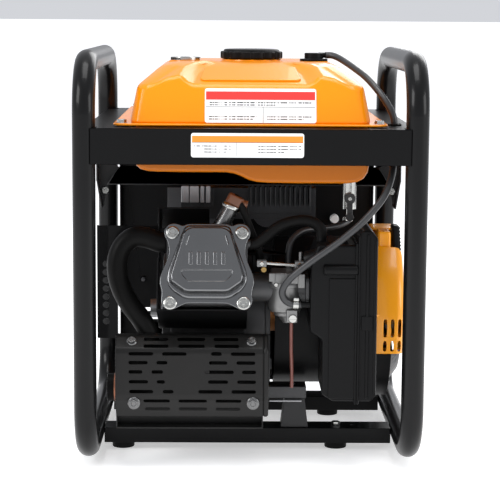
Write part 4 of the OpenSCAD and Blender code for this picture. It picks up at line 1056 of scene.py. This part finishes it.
def airBoxLid():
    near, far = airBox["near"], airBox["far"]
    outline = [(133, 88), (133, 294), (139, 302), (150, 302), (157.6, 292), (157.6, 95), (151, 88)]
    lid = slab([(x, near, z) for x, z in outline], (0, far - near, 0), 2.6, 4, 35)
    cut(lid, [block((130, near + 3, 91), (153.5, far - 3, 281))])
    rim = block((133, near - 3, 85), (136, far + 1, 296), 1.2, 3)
    bands = [block((143.5, near - 1.9, 92), (147.5, near + 2, 298), 1.2, 3),
             block((153, near - 1.2, 98), (156.4, near + 2, 290), 1.0, 3)]
    clip = block((138, near - 2.6, 178), (152, near + 2, 196), 1.2, 3)
    return joined([lid, rim, clip] + bands)


slotPiece(airBoxBody(), "airBoxBody", "black_plastic", ["air_box"])
slotPiece(airBoxLid(), "airBoxLid", "black_plastic", ["air_box_cover"])
snorkelRoute = [(72, -171, 262), (78, -173, 264), (92, -174, 270), (108, -172, 276), (118, -168, 277)]
snorkel = tube(snorkelRoute, 12.5, 6, 9)
slotPiece(snorkel, "airSnorkel", "black_plastic")

# ---- carburetor ----


carb = {
    "boreAt": (-150, 225),
    "boreRadius": 11,
    "throatRadius": 17.6,
    "bowlAt": (45, -152, 0),
    "bowl": [(0, 195), (17.5, 195), (20, 197), (21.6, 203), (22.4, 228), (0, 228)],
    "lid": [(0, 227), (23.8, 227), (24.4, 228), (24.4, 231), (23.6, 232.6), (0, 232.6)],
    "stemAt": (47, -152, 0),
    "stem": [(0, 181), (4.6, 181), (5.4, 183), (8.6, 186), (10.5, 189), (16, 191), (16, 195), (0, 195)],
    # lowest corner, highest corner, rounding
    "blocks": [
        ((9, -179, 255), (21, -168, 263), 1.0), ((56, -180, 251.5), (67, -168, 262), 1.2),
        ((24, -176, 236), (32, -166, 246.6), 1.2), ((60, -176, 228), (69, -166, 246), 1.4),
    ],
    # place, radius, height of each screw on the front
    "screws": [
        ((54, -177, 190), 5.2, 2.6), ((62, -180, 257), 3.2, 2.2), ((33, -174, 232), 2.6, 2.2),
        ((15, -179, 259), 2.8, 2.2),
    ],
}


def carburetor():
    y, z = carb["boreAt"]
    throat = rod((-2, y, z), (74.6, y, z), carb["throatRadius"], 40, bevelWidth=1.2)
    flanges = [slab([(x, y + a, z + b) for a, b in roundRect(wide, 34, 8)], (4.8, 0, 0), 1.0, 3)
               for wide, x in ((60, -2), (56, 69.8))]
    body = block((27, -174, 232), (66, -128, 246.8), 2.6, 3)
    bowl = lathe(carb["bowl"], carb["bowlAt"])
    lid = lathe(carb["lid"], carb["bowlAt"])
    for piece in [throat, body, bowl, lid] + flanges:
        cut(piece, [rod((-4, y, z), (78, y, z), carb["boreRadius"])])
    stem = lathe(carb["stem"], carb["stemAt"], steps=36)
    drain = block((46, -177, 184.5), (60, -166, 201), 1.6, 3)
    boss = rod((48, -179.5, 243), (48, -172, 243), 3.4, 24, bevelWidth=0.5)
    cut(boss, [rod((48, -181, 243), (48, -177, 243), 1.9, 20)])
    blocks = [block(*corners) for corners in carb["blocks"]]
    post = rod((63, -172, 260), (63, -172, 273), 2.2, 20, bevelWidth=0.4)
    arm = rod((21, -174, 259), (57, -174, 256.5), 2.1, 20, bevelWidth=0.4)
    choke = rod((60, y, 240), (60, y, 247), 6.8, 28, bevelWidth=0.6)
    cut(choke, [rod((60, y, 234), (60, y, 250), 3.1, 24)])
    nipple = rod((50, -126, 236), (50, -126, 246), 4.4, 20, bevelWidth=0.5)
    body = joined([body, bowl, lid, stem, drain, boss, post, choke, nipple] + blocks)
    return body, joined([throat] + flanges), arm


body, throat, arm = carburetor()
finishPiece(body, "carburetorBody", carbAlloy, "frame", ["carburetor"])
# the throat takes the darkened cast alloy, which is painted shade
finishPiece(throat, "carburetorThroat", castDark, "frame")
slotPiece(arm, "throttleArm", "zinc")


def screw(at, radius, height):
    points = [(0, 0), (radius, 0), (radius + 0.1, height * 0.6), (radius - 0.5, height), (0, height)]
    head = lathe(points, steps=28)
    cut(head, [block((-radius * 1.4, -0.5, height - 0.9), (radius * 1.4, 0.5, height + 1))])
    return place(head, facing((0, -1, 0)), at)


screws = [screw(*where) for where in carb["screws"]]
slotPiece(joined(screws), "carburetorScrews", "zinc")
jets = [screw((17.6, -173, 251), 3.6, 3), rod((17.6, -172, 251), (17.6, -160, 251), 2.8, 20)]
finishPiece(joined(jets), "mixtureScrew", brass, "frame")
lever = joined([
    rod((60, -150, 235.5), (60, -150, 250.6), 2.95, 24),
    rod((60, -150, 247.2), (60, -150, 251), 7, 28, bevelWidth=0.6),
    block((56.5, -186, 247.3), (63.5, -150, 250), 0.9),
    rod((60, -186, 247.3), (60, -186, 255.2), 4, 24, bevelWidth=0.9),
])
slotPiece(lever, "chokeLeverArm", "lever_black", ["choke_lever"], body="choke")

# left edge and width
fins = [(-88, 10), (-77, 12), (-63, 5), (-56, 6)]
fins = [block((x, -49, 320), (x + wide, -44, 342), 1.0) for x, wide in fins]
finishPiece(joined(fins), "paleFins", paleAlloy, "frame")
drainRoute = [(53, -160, 190), (53, -160, 184), (53, -160, 150), (54, -160, 120), (54, -160, 99)]
drainTube = tube(drainRoute, 2.2, 4, 5)
finishPiece(drainTube, "drainTube", tubePink, "frame")
mountLip = block((28, -91, 64.6), (70, -88, 66.8), 0.7, 2)
finishPiece(mountLip, "mountLip", paleAlloy, "frame")

# ---- hoses, the lead and the exhaust pipe ----

routes = {
    "vapourHose": ([
        (98, -40, 511.9), (100, -40, 511.9), (107, -43, 511.6), (116, -52, 508), (131, -74, 498),
        (147, -105, 485), (162, -128, 467), (173, -139, 450), (178.5, -143, 436), (178.5, -143, 420),
        (178, -148, 402), (176.5, -166, 384), (172.5, -187, 368), (165, -196, 349), (154, -199, 333),
        (136, -200, 313), (118, -200, 297), (100, -200, 283), (79, -199, 268), (58, -196, 251),
        (45, -192, 237), (40, -189, 225), (44, -185, 214.5), (52, -182.5, 209.5), (62, -182, 208.5),
        (64, -182, 208.5),
    ], 4.25, "hose_grey", "vapour_hose"),
    "fuelHose": ([
        (129, -75, 309), (129, -75, 306.8), (128, -76, 300), (112, -86, 294), (88, -98, 292), (68, -110, 291),
        (54, -120, 281), (50, -125, 266), (50, -126, 246.1), (50, -126, 244),
    ], 4, "hose_grey", "fuel_hoses"),
    "breatherHose": ([
        (2, -155, 280), (3, -155, 280), (9, -155, 281), (19, -154, 288), (37, -151, 302), (59, -150, 309),
        (77, -150, 308), (88, -150, 300), (90, -150, 292), (90, -150, 289),
    ], 7, "rubber", "breather_hose"),
    "ignitionLead": ([
        (-18, -129, 335), (-17, -129, 335), (-13, -131, 330), (-8, -132, 320), (1, -133, 297),
        (11, -134, 271), (13, -130, 262), (13, -128, 256),
    ], 4.8, "rubber", "ignition_lead"),
    "exhaustPipe": ([
        (-105, -146, 280), (-113, -146, 281), (-127, -146, 286), (-144, -146, 287), (-158, -147, 276),
        (-165, -149, 257), (-163, -151, 232), (-152, -152, 207), (-136, -151, 185), (-127, -150, 169),
        (-126, -150, 159), (-126, -150, 157.5),
    ], 13, "heat_black", "exhaust_pipe"),
}
for name, (route, radius, slot, node) in routes.items():
    slotPiece(tube(route, radius, 6, 7), name, slot, [node], 60)
print("hoses run")
